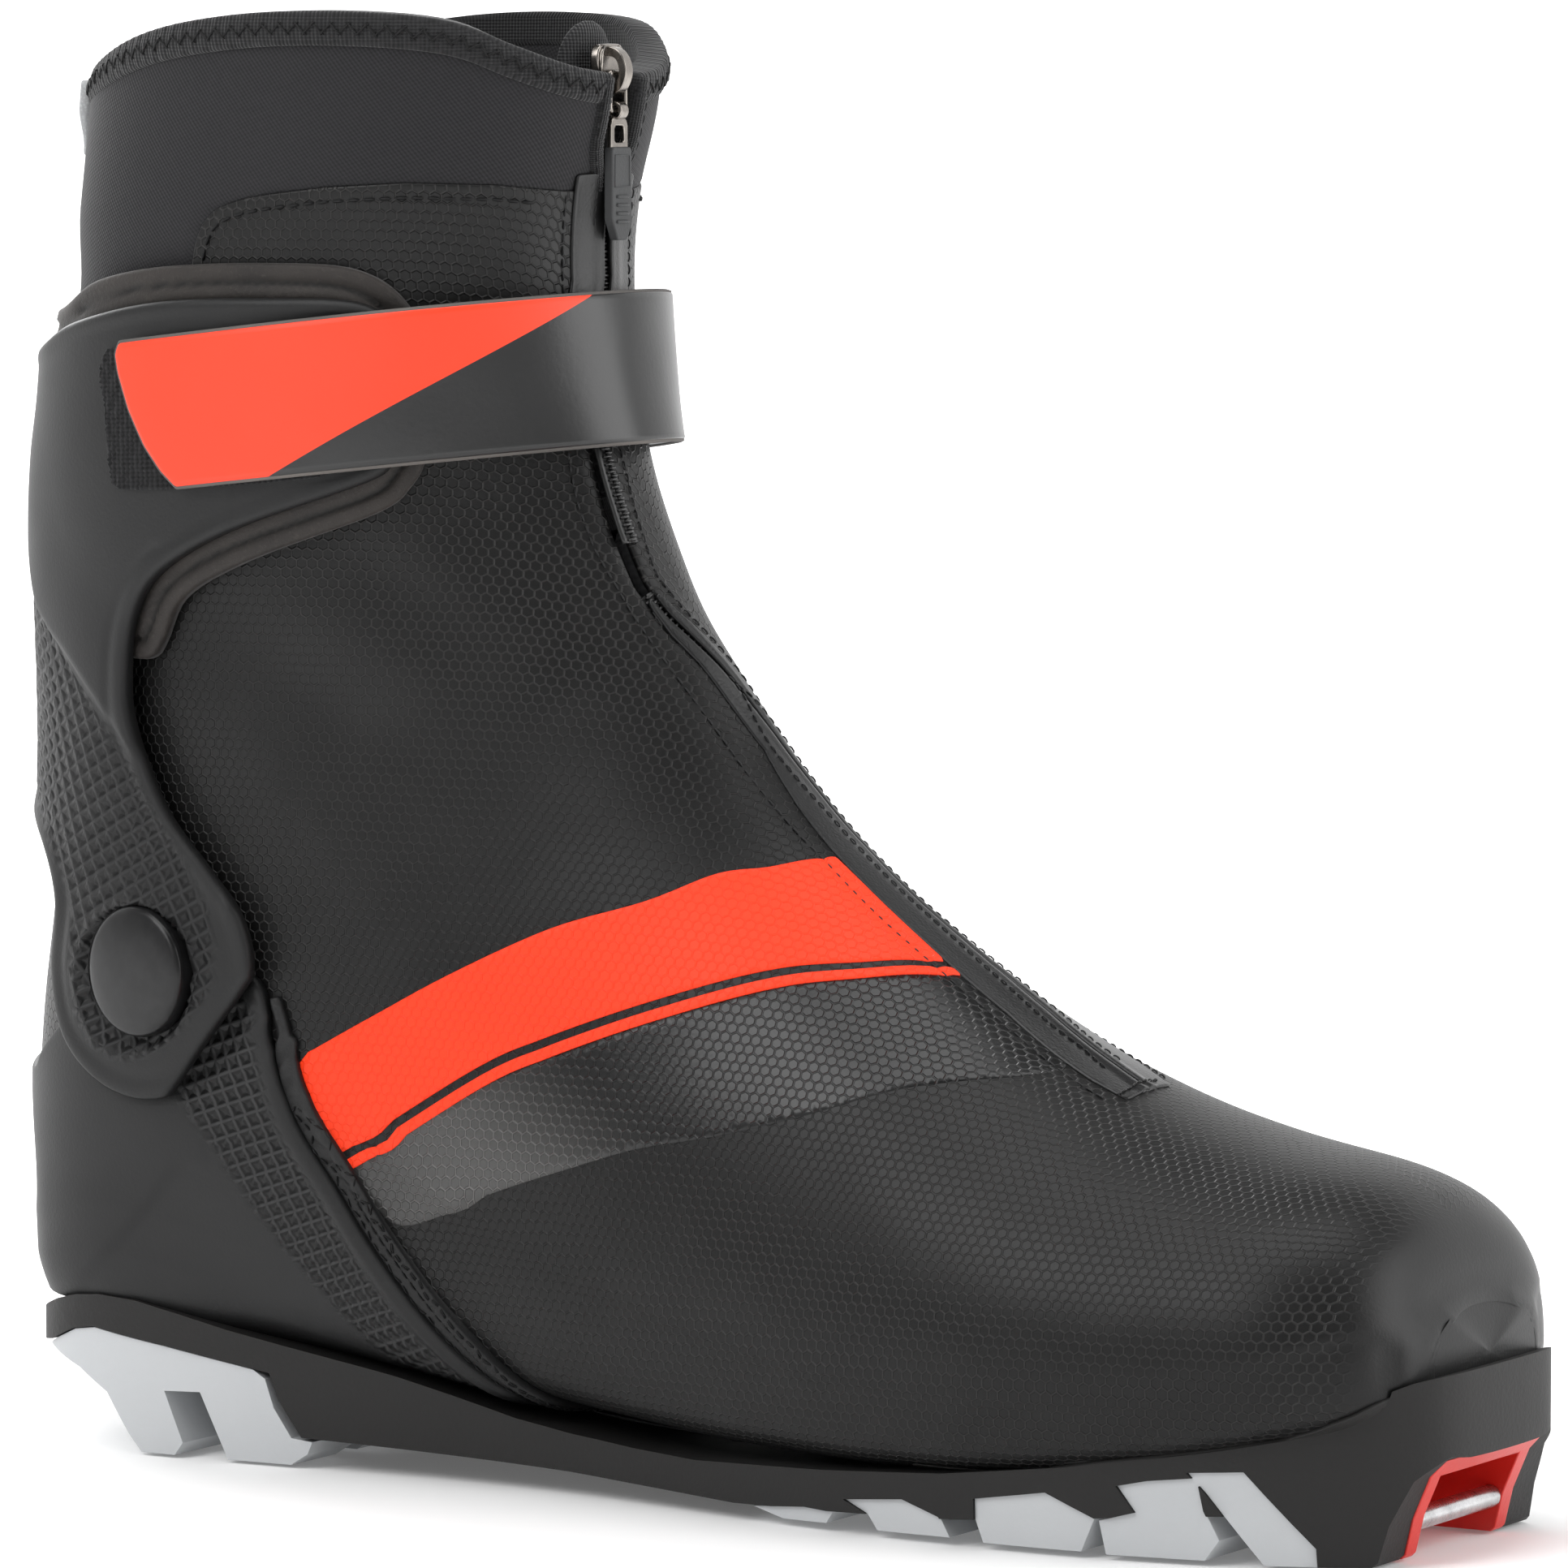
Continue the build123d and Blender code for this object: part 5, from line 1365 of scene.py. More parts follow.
def h_pad(P, T, TH, d=None):
    d = poly_sdf(XZ(P), PADP)
    bead = 1.5 + 1.4 * np.sqrt(np.clip(1 - ((d - 1.7) / 1.9) ** 2, 0, 1))
    inner = 1.6 + 1.25 * np.sqrt(np.clip(1 - ((d - 5.6) / 2.3) ** 2, 0, 1))
    h = np.where(d < 3.45, bead, np.where(d < 7.6, inner, 1.9))
    g = np.exp(-((d - 3.45) / .45) ** 2)
    return h - .35 * g + noise2(P[..., 0] / 7, P[..., 2] / 6) * .12


# mask of the groove between the beads, which carries its painted shade
def pad_groove(P, T, TH, d):
    dd = poly_sdf(XZ(P), PADP)
    return np.exp(-((dd - 3.45) / .5) ** 2)


pad = patch("cuff_pad", d_pad, h_pad, .35, 250, 392, *TWO, step=.95, rim=.9, rings=4, wrap=True, mat=M_PAD, attrs={"groove": pad_groove})
add(pad, "cuff", "pad_foam", ("cuff_pad",))

# ------------------------------------------------------------------ cuff
RIDGE = smooth_poly([(-2, 196), (4, 186), (7, 179.5), (15, 159.6), (21, 153.5), (27.3, 148.9), (34.7, 141.9), (41.4, 134.9), (47.5, 128.6), (53.1, 122.3), (57.9, 115.2), (61.9, 109.1), (66, 101)], 6, False)
LATT = np.array([(-16, 182), (5.5, 179.5), (14.2, 160.6), (26.4, 148.6), (33.6, 141.0), (40.3, 134.0), (46.0, 127.4), (50.4, 120.4), (55.9, 111.9), (61.4, 103.2), (63.4, 95.8), (62.9, 88.2), (58.5, 82.5),
                 (52, 76.8), (44, 74.6), (36, 77), (31.6, 83), (30, 91), (30.2, 101), (26, 109), (18, 118), (8, 124), (-16, 127)])


def lattice(q, pitch, ang1, ang2):
    """Depth of pyramid cells between two families of straight ribs: 0 on the ribs, 1 in the middle of a cell."""
    a = np.array([math.cos(R(ang1)), math.sin(R(ang1))]); b = np.array([math.cos(R(ang2)), math.sin(R(ang2))])
    u = (q @ a) / pitch; v = (q @ b) / pitch
    fu, fv = np.abs(u - np.round(u)), np.abs(v - np.round(v))
    return np.minimum(fu, fv) * 2


def h_cuff(P, T, TH, d=None):
    q = XZ(P)
    x, z = q[..., 0], q[..., 1]
    d = poly_sdf(q, CUFF)
    r, _ = line_dist(q, RIDGE)
    behind = r < 0
    near = (z < 197) & (x < 66)
    h = 5.75 + 0 * x
    # a crisp step up along the ridge, then a shallow slope back down to the edge
    step = np.where(near, .75 * sst(r, -.9, .9) * (1 - .75 * sst(r, 2, 16)), 0)
    step = np.where(z > 184, step * (1 - sst(z, 184, 197)), step)
    h = h + step
    rr = np.hypot(x - PIV[0], z - PIV[1])
    # boss round the pivot
    h = h + .55 * (1 - sst(rr, 15.5, 22)) * sst(rr, 12.2, 13.4)
    h = h - 1.5 * (1 - sst(rr, 12.35, 13.0))
    # lattice
    dl = poly_sdf(q, LATT)
    mask = sst(dl, 0.2, 1.4) * sst(rr, 13.8, 15.2)
    cell = lattice(q, 2.9, 26, 118)
    h = h - mask * (.12 + .42 * sst(cell, .10, .75))
    # rolled lip along the edge
    h = h + .28 * np.exp(-((d - 1.5) / 1.1) ** 2) - .22 * np.exp(-((d - 4.0) / .9) ** 2) * (z < 168)
    h = h + noise2(x / 31, z / 29) * .3
    return h


def d_cuff(P, T, TH):
    return poly_sdf(XZ(P), CUFF)


cuff = patch("cuff_shell", d_cuff, h_cuff, 3.6, 246, 390, *TWO, step=.72, rim=1.15, rings=4, wrap=True, mat=M_CUFF,
             attrs={"latt": lambda P, T, TH, d: sst(poly_sdf(XZ(P), LATT), 0, 1.5)})
add(cuff, "cuff", "cuff_soft", ("cuff_shell",))


# pivot caps
def side_fit(off, lateral, rad=16):
    """Quadratic fit of the surface's y round the pivot."""
    t = np.linspace(250, 330, 60); th = np.linspace(pi * .75, pi * 1.4, 90) if lateral else np.linspace(-pi * .4, pi * .25, 90)
    P = S(t[:, None], th[None], off).reshape(-1, 3)
    m = np.hypot(P[:, 0] - PIV[0], P[:, 2] - PIV[1]) < rad
    x, z, y = P[m, 0] - PIV[0], P[m, 2] - PIV[1], P[m, 1]
    A = np.stack([np.ones_like(x), x, z, x * x, x * z, z * z], 1)
    c, *_ = np.linalg.lstsq(A, y, rcond=None)
    return lambda x, z: np.stack([np.ones_like(x), x, z, x * x, x * z, z * z], -1) @ c


for lateral in (True, False):
    f = side_fit(0.0, lateral)
    s = -1 if lateral else 1
    prof = [(0, 8.25), (3, 8.22), (6, 8.1), (8.5, 7.9), (10.2, 7.65), (11.1, 7.4), (11.6, 7.0), (11.85, 6.4), (11.9, 5.4), (11.0, 4.9), (0, 4.9)]
    prof = smooth_poly(prof, 3, False)
    prof[0, 0] = 0
    m = 72
    V, F = [], []
    for r, h in prof[1:-1]:
        a = np.arange(m) * 2 * pi / m
        r = abs(r)
        x, z = r * np.cos(a), r * np.sin(a)
        base = f(x * .6, z * .6)
        V.append(np.stack([PIV[0] + x, base + s * (h + .15 * x * (h > 5.2)), PIV[1] + z], 1))
    n = len(V)
    V = np.concatenate(V + [np.array([[PIV[0], f(0.0 * np.ones(1), 0.0 * np.ones(1))[0] + s * 8.26, PIV[1]]]), np.array([[PIV[0], f(np.zeros(1), np.zeros(1))[0] + s * 4.9, PIV[1]]])])
    for k in range(n - 1):
        for i in range(m):
            j = (i + 1) % m
            q = (k * m + i, (k + 1) * m + i, (k + 1) * m + j, k * m + j)
            F.append(q if s > 0 else q[::-1])
    for i in range(m):
        j = (i + 1) % m
        q = (n * m, i, j); q2 = (n * m + 1, (n - 1) * m + j, (n - 1) * m + i)
        F.append(q if s > 0 else q[::-1]); F.append(q2 if s > 0 else q2[::-1])
    nm = "lateral" if lateral else "medial"
    o = new_object("pivot_cap_" + nm, V, F, M_CAP)
    add(o, "cuff", "cap_gloss", ("pivot_cap_" + nm,))

# ------------------------------------------------------------------ heel cup
CREASE = smooth_poly([(22, 27), (29.1, 34.8), (39.2, 44), (47.7, 52.5), (51.8, 55.3), (57.6, 55.5)], 6, False)
CUPLINE = smooth_poly([(67.6, 89.0), (70.4, 81.6)] + [tuple(p) for p in _beside(_TF, 5.0)[4:]], 5, False)
CUPL = smooth_poly([(44, 77.5), (46.6, 73.9), (56.1, 62.3), (68.1, 47), (81.4, 33.3), (88.6, 25.6), (98, 14)], 5, False)
CUPLAT = np.vstack([CUPL, [(125, 8)], CUPLINE[::-1] + np.array([-2.6, -1.2]), [(52, 80)]])


def d_cup(P, T, TH):
    q = XZ(P)
    fz = np.interp(q[..., 0], FEATHER[:, 0], FEATHER[:, 1])
    return np.minimum(poly_sdf(q, CUPP), q[..., 1] - fz + 3.0)


def h_cup(P, T, TH, d=None):
    q = XZ(P); x, z = q[..., 0], q[..., 1]
    d = poly_sdf(q, CUPP)
    h = 2.15 + 0 * x
    h = h - 1.1 * (1 - sst(np.hypot(x - PIV[0], z - PIV[1]), 20, 24))
    r, u = line_dist(q, CREASE)
    h = h + .55 * sst(r, -1.4, 1.4) * (1 - sst(r, 3, 20)) * np.sin(pi * np.clip(u, .0, 1)) ** .5 * (x < 62)
    dl = poly_sdf(q, CUPLAT)
    mask = sst(dl, 0, 1.2)
    cell = lattice(q, 2.75, 22, 108)
    h = h - mask * (.1 + .55 * sst(cell, .12, .8))
    c, _ = line_dist(q, CUPLINE)
    c = np.abs(c)
    h = h + .5 * np.exp(-((c - 1.2) / 1.0) ** 2) * (d < 6)
    h = h + noise2(x / 27 + 3, z / 31) * .25
    return h


cup = patch("heel_cup", d_cup, h_cup, .35, 160, 345, *TWO, step=.78, rim=.9, rings=3, wrap=True, mat=M_CUP,
            attrs={"latt": lambda P, T, TH, d: sst(poly_sdf(XZ(P), CUPLAT), 0, 1.2)})
add(cup, "foot", "heel_cup_tpu", ("heel_cup",))

# ------------------------------------------------------------------ padded side trims
def d_trim(P, T, TH):
    q = XZ(P)
    fz = np.interp(q[..., 0], FEATHER[:, 0], FEATHER[:, 1])
    return np.minimum(poly_sdf(q, TRIM), q[..., 1] - fz + 2.5)


def h_trim(P, T, TH, d=None):
    q = XZ(P)
    f, _ = line_dist(q, TRIM_FRONT)
    f = np.abs(f)
    h = .85 + 1.15 * np.exp(-((f - 1.15) / .85) ** 2)          # corded front edge
    h = h + .38 * np.exp(-((f - 4.1) / .75) ** 2)              # soft welt between the rows of stitches
    return h + relief(P, T, TH) * .6


for lateral, (a, b) in ((True, (pi / 2, 1.5 * pi)), (False, (-pi / 2, pi / 2))):
    nm = "lateral" if lateral else "medial"
    o = patch("side_trim_" + nm, d_trim, h_trim, lambda P, T, TH, d: -.2 + 0 * T, 130, 290, a, b, step=.75, rim=.5, rings=3, mat=M_TRIM)
    add(o, "foot", "trim_padded", ("side_trim_" + nm,))
    for k, off in enumerate((2.75, 5.4)):
        ln = lambda P, T, TH, off=off: np.where(poly_sdf(XZ(P), TRIM) > .3, np.abs(line_dist(XZ(P), TRIM_FRONT)[0]) - off, 9 + 0 * T)
        for q_ in line_on(ln, 0.0, 150, 262, a + .05, b - .05, h_trim, "stitch_trim_%s_%d" % (nm, k), M_THREAD_G, pitch=2.5, length=1.9, r=.19, lift=.05):
            add(q_, "foot", "trim_padded")

# ------------------------------------------------------------------ strap
S_C, S_SLOPE, HALF_W = 192.0, 0.115, 13.6
_dt = np.linspace(K[9], K[-1], 260)
_DENSE = S(_dt[:, None], np.linspace(-pi / 2, 1.5 * pi, 240, endpoint=False)[None], 0.0)


def ring(dz, off_side, off_front, n=400):
    """Closed ring (n, 3) where the strap's slanted plane meets the leg, pushed outwards."""
    f = _DENSE[..., 2] - (S_C + dz + S_SLOPE * (_DENSE[..., 0] - 60))
    pts = []
    for j in range(f.shape[1]):
        i = np.where((f[:-1, j] <= 0) & (f[1:, j] > 0))[0]
        if len(i):
            i = i[-1]; w = -f[i, j] / (f[i + 1, j] - f[i, j])
            pts.append(_DENSE[i, j] * (1 - w) + _DENSE[i + 1, j] * w)
    pts = np.array(pts); c = np.array([62.0, 0.0])
    ang = np.arctan2(pts[:, 1], pts[:, 0] - 62.0)
    o = np.argsort(ang); ang, pts = ang[o], pts[o]
    P = pts[:, :2]; Tg = np.roll(P, -1, 0) - np.roll(P, 1, 0)
    Nn = np.stack([Tg[:, 1], -Tg[:, 0]], 1); Nn /= np.linalg.norm(Nn, axis=1, keepdims=True)
    Nn[(Nn * (P - c)).sum(1) < 0] *= -1
    fw = sst(P[:, 0], 92, 116)
    Q = P + Nn * (off_side * (1 - fw) + off_front * fw)[:, None]
    grid = np.linspace(-pi, pi, n, endpoint=False)
    a2 = np.arctan2(Q[:, 1], Q[:, 0] - 62.0)
    o = np.argsort(a2); a2, Q = a2[o], Q[o]
    qx = np.interp(grid, a2, Q[:, 0], period=2 * pi); qy = np.interp(grid, a2, Q[:, 1], period=2 * pi)
    k = np.array([1, 4, 6, 4, 1.]) / 16
    for _ in range(3):
        qx = sum(np.roll(qx, i - 2) * k[i] for i in range(5)); qy = sum(np.roll(qy, i - 2) * k[i] for i in range(5))
    return np.stack([qx, qy, S_C + dz + S_SLOPE * (qx - 60)], 1)


def strap_end_x(dz):
    """Where the free end is cut: slanted, with rounded corners."""
    w = (dz + HALF_W) / (2 * HALF_W)          # 0 at the lower edge
    base = np.interp(w, [0, .12, .3, .55, .8, .93, 1.0], [56.5, 53.2, 49.6, 46.0, 43.4, 42.6, 43.6])
    return base


def band_mesh(name, x_of, side, x_stop, off_side, off_front, thick, mat, nw=30, nl=330, attrs=True, wave=0.0, skip=None):
    """A strip along the ring from a given x on one side round the front to x_stop on the other."""
    rows_o, rows_i, uu = [], [], []
    dzs = np.concatenate([[-1], np.linspace(-1 + .035, 1 - .035, nw), [1]]) * HALF_W
    for dz in dzs:
        ro = ring(dz, off_side + thick, off_front + thick); ri = ring(dz, off_side, off_front)
        k0 = np.argmin(np.abs(np.linspace(-pi, pi, 400, endpoint=False)))       # straight ahead
        idx = (np.arange(400) - 200)                                          # -200..199 about straight ahead
        ro2 = ro[(k0 + idx) % 400]; ri2 = ri[(k0 + idx) % 400]
        s = np.concatenate([[0], np.cumsum(np.linalg.norm(np.diff(ro2[:, :2], axis=0), axis=1))]); s -= s[200]
        lat = idx <= 0
        xs = ro2[:, 0]

        def s_at(x, lateral):
            m = (s < 0) if lateral else (s > 0)
            xx, ss = xs[m], s[m]
            # walk from the front backwards until x is passed
            order = np.argsort(np.abs(ss))
            xx, ss = xx[order], ss[order]
            j = np.argmax(xx < x)
            j = max(j, 1)
            w = (xx[j - 1] - x) / (xx[j - 1] - xx[j] + 1e-9)
            return ss[j - 1] + (ss[j] - ss[j - 1]) * w
        s0 = s_at(x_of(dz) if side != "medial_only" else x_stop, side != "medial_only")
        if side == "medial_only":
            s0 = s_at(x_stop, False); s1 = s_at(x_of(dz), False)
        else:
            s1 = s_at(x_stop, False)
        g = np.linspace(s0, s1, nl)
        rows_o.append(np.stack([np.interp(g, s, ro2[:, k]) for k in range(3)], 1))
        rows_i.append(np.stack([np.interp(g, s, ri2[:, k]) for k in range(3)], 1))
        uu.append(g)
    O, I, G = np.array(rows_o), np.array(rows_i), np.array(uu)
    nr = len(dzs)
    M = (O + I) / 2
    # pull the long edges together for a cut, slightly rounded edge
    for r_ in (0, nr - 1):
        O[r_] = M[r_] + (O[r_] - M[r_]) * .55; I[r_] = M[r_] + (I[r_] - M[r_]) * .55
    for c_ in (0, nl - 1):
        O[:, c_] = M[:, c_] + (O[:, c_] - M[:, c_]) * .55; I[:, c_] = M[:, c_] + (I[:, c_] - M[:, c_]) * .55
    if wave:
        n_ = O - I; n_ /= np.linalg.norm(n_, axis=2, keepdims=True)
        D = np.array(dzs)[:, None]
        w_ = wave * (noise2(G / 21, D / 16 + 4) + .5 * noise2(G / 9, D / 9)) + .22 * np.clip(1 - (D / HALF_W) ** 2, 0, 1)
        O = O + n_ * w_[..., None]
        I = I + n_ * w_[..., None] * .8
    V = np.concatenate([O.reshape(-1, 3), I.reshape(-1, 3)])
    n1 = nr * nl
    F = []
    for i in range(nr - 1):
        for j in range(nl - 1):
            a = i * nl + j
            F.append((a, a + 1, a + nl + 1, a + nl)); F.append((n1 + a, n1 + a + nl, n1 + a + nl + 1, n1 + a + 1))
    for j in range(nl - 1):
        F.append((j + 1, j, n1 + j, n1 + j + 1)); b = (nr - 1) * nl + j
        F.append((b, b + 1, n1 + b + 1, n1 + b))
    for i in range(nr - 1):
        a = i * nl; F.append((a, a + nl, n1 + a + nl, n1 + a)); b = i * nl + nl - 1
        F.append((b + nl, b, n1 + b, n1 + b + nl))
    D = np.repeat(np.array(dzs), nl)
    edge = np.minimum(HALF_W - np.abs(D), np.minimum((G - G[:, :1]).ravel(), (G[:, -1:] - G).ravel()))
    return V, F, D, G.ravel(), edge, n1, O, I


V, F, D, G, EDGE, n1, SO, SI = band_mesh("strap", strap_end_x, "both", 97.0, 7.5, 5.2, 1.45, M_STRAP, wave=.25)
# where the colour changes: a slanted straight line across the strap
def nearest_g(p):
    k = np.argmin(((V[:n1] - np.array(p)) ** 2).sum(1))
    return G[k], D[k]


_ta, _tb = nearest_g((123.0, -13.1, 212.8)), nearest_g((75.7, -46.5, 179.0))
_e = np.array([_tb[0] - _ta[0], _tb[1] - _ta[1]]); _e /= np.linalg.norm(_e)
SPLIT = (G - _ta[0]) * _e[1] - (D - _ta[1]) * _e[0]
if SPLIT[np.argmin(G)] < 0:
    SPLIT = -SPLIT
two = lambda a: np.concatenate([a, a])
strap = new_object("closure_strap", V, F, M_STRAP, uvs=np.stack([two(G), two(D)], 1),
                   attrs={"split": two(SPLIT), "edge": two(EDGE), "back": np.concatenate([np.zeros(n1), np.ones(n1)])})
add(strap, "closure_strap", "strap_coated", ("strap",))
# pale cut edge of the laminate, a fine cord all along the outline
nr, nl = SO.shape[:2]
loop = np.concatenate([((SO + SI) / 2)[0], ((SO + SI) / 2)[1:, -1], ((SO + SI) / 2)[-1, ::-1][1:], ((SO + SI) / 2)[::-1, 0][1:-1]])
nrm = np.concatenate([(SO - SI)[0], (SO - SI)[1:, -1], (SO - SI)[-1, ::-1][1:], (SO - SI)[::-1, 0][1:-1]])
nrm /= np.linalg.norm(nrm, axis=1, keepdims=True)
V2, F2 = tube("", loop + nrm * .05, .42, sides=6, closed=True, normals=nrm, flat=1.25)
o = new_object("strap_cut_edge", V2, F2, M_STRAP_EDGE)
add(o, "closure_strap", "strap_coated")


# the strap's fixed root on the inner side
V, F, D, G, EDGE, n1, SO, SI = band_mesh("root", lambda dz: 52.0, "medial_only", 96.4, 7.5, 5.2, 1.45, M_STRAP, nl=120, wave=.12)
o = new_object("strap_root", V, F, M_STRAP, uvs=np.stack([two(G), two(D)], 1),
               attrs={"split": two(-np.ones(n1) * 9), "edge": two(EDGE), "back": np.concatenate([np.zeros(n1), np.ones(n1)])})
add(o, "cuff", "strap_coated", ("strap_anchor",))
on = SO - SI; on /= np.linalg.norm(on, axis=2, keepdims=True)
k = 0
for zz in (-9.5, 9.5):
    r_ = int(np.argmin(np.abs(np.concatenate([[-1], np.linspace(-.965, .965, 30), [1]]) * HALF_W - zz)))
    o = stitches("stitch_root_%d" % k, SO[r_, 4:60], on[r_, 4:60], M_THREAD_G, pitch=2.6, length=1.9, r=.2, lift=.05); k += 1
    add(o, "cuff", "strap_coated")

# ------------------------------------------------------------------ hook patch under the strap's free end
def h_hook(P, T, TH, d=None):
    x, z = P[..., 0], P[..., 2]
    return 6.65 + .28 * np.sin(x * 2 * pi / .95) * np.sin(z * 2 * pi / .95) + noise2(x * 1.7, z * 1.9) * .35


hook = patch("hook_patch", lambda P, T, TH: poly_sdf(XZ(P), HOOKP), h_hook, 5.95, 318, 385, pi * .62, pi * 1.35, step=.42, rim=.3, rings=2, mat=M_HOOK)
add(hook, "cuff", "hook_tape", ("hook_patch",))

# ------------------------------------------------------------------ reflective pull tab at the back of the collar
def d_tab(P, T, TH):
    return np.minimum(np.minimum(8.5 - np.abs(P[..., 1] + 6.5), P[..., 2] - 236.9), rim_z(P[..., 0], -.6) - P[..., 2])


tab = patch("pull_tab", d_tab, lambda P, T, TH, d: 1.7 + 1.5 * sst(P[..., 2], 238, 246) + .12 * np.cos(P[..., 1] * .5), .75, 384, 416, pi * 1.2, pi * 1.65, step=.5, rim=.42, rings=3, mat=M_REFL)
add(tab, "cuff", "tab_reflective", ("pull_tab",))


# ------------------------------------------------------------------ closure facings
def face_h(P, T, TH, d=None):
    y = P[..., 1] - YG(T)
    return relief(P, T, TH) + .55 + .5 * np.exp(-((np.abs(y) - 1.3) / 1.1) ** 2)


def d_face_low(P, T, TH):
    y = P[..., 1]
    g = YG(T)
    w = np.where(y < g, g - YE(T), g - YE(T))
    a = np.abs(y - g)
    end = np.where(a < 60, T - (70.5 - 0.0), 0)
    gap = np.where(T > T_ZIP, a - .42, np.hypot(a, T - T_ZIP) - .42)
    return np.where(np.sin(TH) > .2, np.minimum(np.minimum(w - a, gap), np.minimum(end, 236 - T)), -5)


def d_face_up(P, T, TH):
    y = P[..., 1]
    g = YG(T)
    a = np.abs(y - g)
    return np.where(np.sin(TH) > .2, np.minimum(np.minimum(9.4 - a, a - 1.0), np.minimum(T - 318, 374 - T)), -5)


o = patch("closure_facing_lower", d_face_low, face_h, lambda P, T, TH, d: relief(P, T, TH) * 1.0 - .3, 66, 240, pi / 2 - .7, pi / 2 + .7, step=.75, step_th=.5, rim=.36, rings=3, mat=M_FACING)
add(o, "blend", "facing_film", ("zip_facing_lower",))
o = patch("closure_facing_upper", d_face_up, face_h, lambda P, T, TH, d: relief(P, T, TH) * 1.0 - .3, 314, 378, pi / 2 - .7, pi / 2 + .7, step=.8, step_th=.5, rim=.36, rings=3, mat=M_FACING)
add(o, "cuff", "facing_film", ("zip_facing_upper",))
ts = np.arange(79, 205, 1.5)
P, n_ = off_path(ts, th_at(ts, YB(ts)), face_h)
add(stitches("stitch_facing", P, n_, M_THREAD, pitch=2.2, length=1.6, r=.17, lift=.08), "blend", "facing_film")
ts = np.arange(80, 205, 1.5)
P, n_ = off_path(ts, th_at(ts, 2 * YG(ts) - YB(ts)), face_h)
add(stitches("stitch_facing_m", P, n_, M_THREAD, pitch=2.2, length=1.6, r=.17, lift=.08), "blend", "facing_film")
# bar of stitches across the lower end
yy = np.linspace(-9, 6, 20) + YG(72.6)
P, n_ = off_path(np.full(20, 72.4), th_at(np.full(20, 72.4), yy), face_h)
add(stitches("stitch_closure_end", P, n_, M_THREAD, pitch=1.9, length=1.5, r=.19, lift=.08), "foot", "facing_film")

# ------------------------------------------------------------------ zipper: coil halves on woven tapes
def zip_strip(name, ts, lift_fn, body, slot, rep):
    th_ = th_at(ts, YG(ts))
    C, n_ = S(ts, th_, lift_fn(ts)), N(ts, th_, 0.0)
    Tg = np.gradient(C, axis=0); Tg /= np.linalg.norm(Tg, axis=1, keepdims=True)
    sd = np.cross(Tg, n_)
    parts = []
    # tapes
    for s in (-1, 1):
        w = [0.25, 2.6]
        rows = [C + sd * s * w[0] - n_ * .1, C + sd * s * w[1] - n_ * .1, C + sd * s * w[1] - n_ * .55, C + sd * s * w[0] - n_ * .55]
        V = np.stack(rows, 1).reshape(-1, 3); m = len(ts); F = []
        for i in range(m - 1):
            for k in range(4):
                a, b = i * 4 + k, i * 4 + (k + 1) % 4
                F.append((a, b, b + 4, a + 4))
        F += [(3, 2, 1, 0), tuple((m - 1) * 4 + k for k in range(4))]
        parts.append((V, F))
    # teeth, alternating
    s_ = np.concatenate([[0], np.cumsum(np.linalg.norm(np.diff(C, axis=0), axis=1))])
    ip = lambda u, A: np.array([np.interp(u, s_, A[:, k]) for k in range(3)])
    n = int(s_[-1] / .72)
    for i in range(n):
        u = (i + .5) * .72; s = 1 if i % 2 else -1
        c, nn, d, tg = ip(u, C), ip(u, n_), ip(u, sd), ip(u, Tg)
        pts = [c + d * s * 1.35 + nn * .05, c + d * s * .8 + nn * .42, c - d * s * .25 + nn * .46, c - d * s * .5 + nn * .05]
        parts.append(tube("", pts, .26, sides=5, taper=[1, 1, 1.15, 1]))
    V, F = merge(parts)
    o = new_object(name, V, F, M_COIL)
    add(o, body, slot, rep)


zip_strip("zipper_lower", np.arange(T_ZIP + .5, 238, 1.2), lambda t: -.15 + 0 * t, "blend", "chain_nylon", ("zipper_chain_lower",))

# upper chain: along the CAD chain's own path, in the plane of the closure
cp = smooth_poly([(129.2, 168.5), (127.6, 172.0), (123.9, 181.5), (120.5, 193.0), (118.4, 205.0), (117.3, 219.0), (117.0, 228.0), (116.8, 236.0), (116.8, 252.0)], 8, False)
C = resample(np.stack([cp[:, 0] - .35, 0 * cp[:, 0], cp[:, 1]], 1), 1.0)
Tg = np.gradient(C, axis=0); Tg /= np.linalg.norm(Tg, axis=1, keepdims=True)
sd = np.tile(np.array([[0, 1.0, 0]]), (len(C), 1)); n_ = np.cross(sd, Tg)
if n_[0][0] < 0:
    n_ = -n_
yshift = np.interp(C[:, 2], [168, 186, 200, 212], [-8.6, -7.6, -3.6, 0])
C[:, 1] += yshift
parts = []
for s in (-1, 1):
    rows = [C + sd * s * .25 - n_ * .3, C + sd * s * 2.7 - n_ * .3, C + sd * s * 2.7 - n_ * .8, C + sd * s * .25 - n_ * .8]
    V = np.stack(rows, 1).reshape(-1, 3); m = len(C); F = []
    for i in range(m - 1):
        for k in range(4):
            a, b = i * 4 + k, i * 4 + (k + 1) % 4
            F.append((a, b, b + 4, a + 4))
    F += [(3, 2, 1, 0), tuple((m - 1) * 4 + k for k in range(4))]
    parts.append((V, F))
s_ = np.concatenate([[0], np.cumsum(np.linalg.norm(np.diff(C, axis=0), axis=1))])
ip = lambda u, A: np.array([np.interp(u, s_, A[:, k]) for k in range(3)])
for i in range(int(s_[-1] / .72)):
    u = (i + .5) * .72; s = 1 if i % 2 else -1
    c, nn, d = ip(u, C), ip(u, n_), ip(u, sd)
    parts.append(tube("", [c + d * s * 1.35 - nn * .15, c + d * s * .8 + nn * .3, c - d * s * .25 + nn * .34, c - d * s * .5 - nn * .15], .26, sides=5, taper=[1, 1, 1.15, 1]))
V, F = merge(parts)
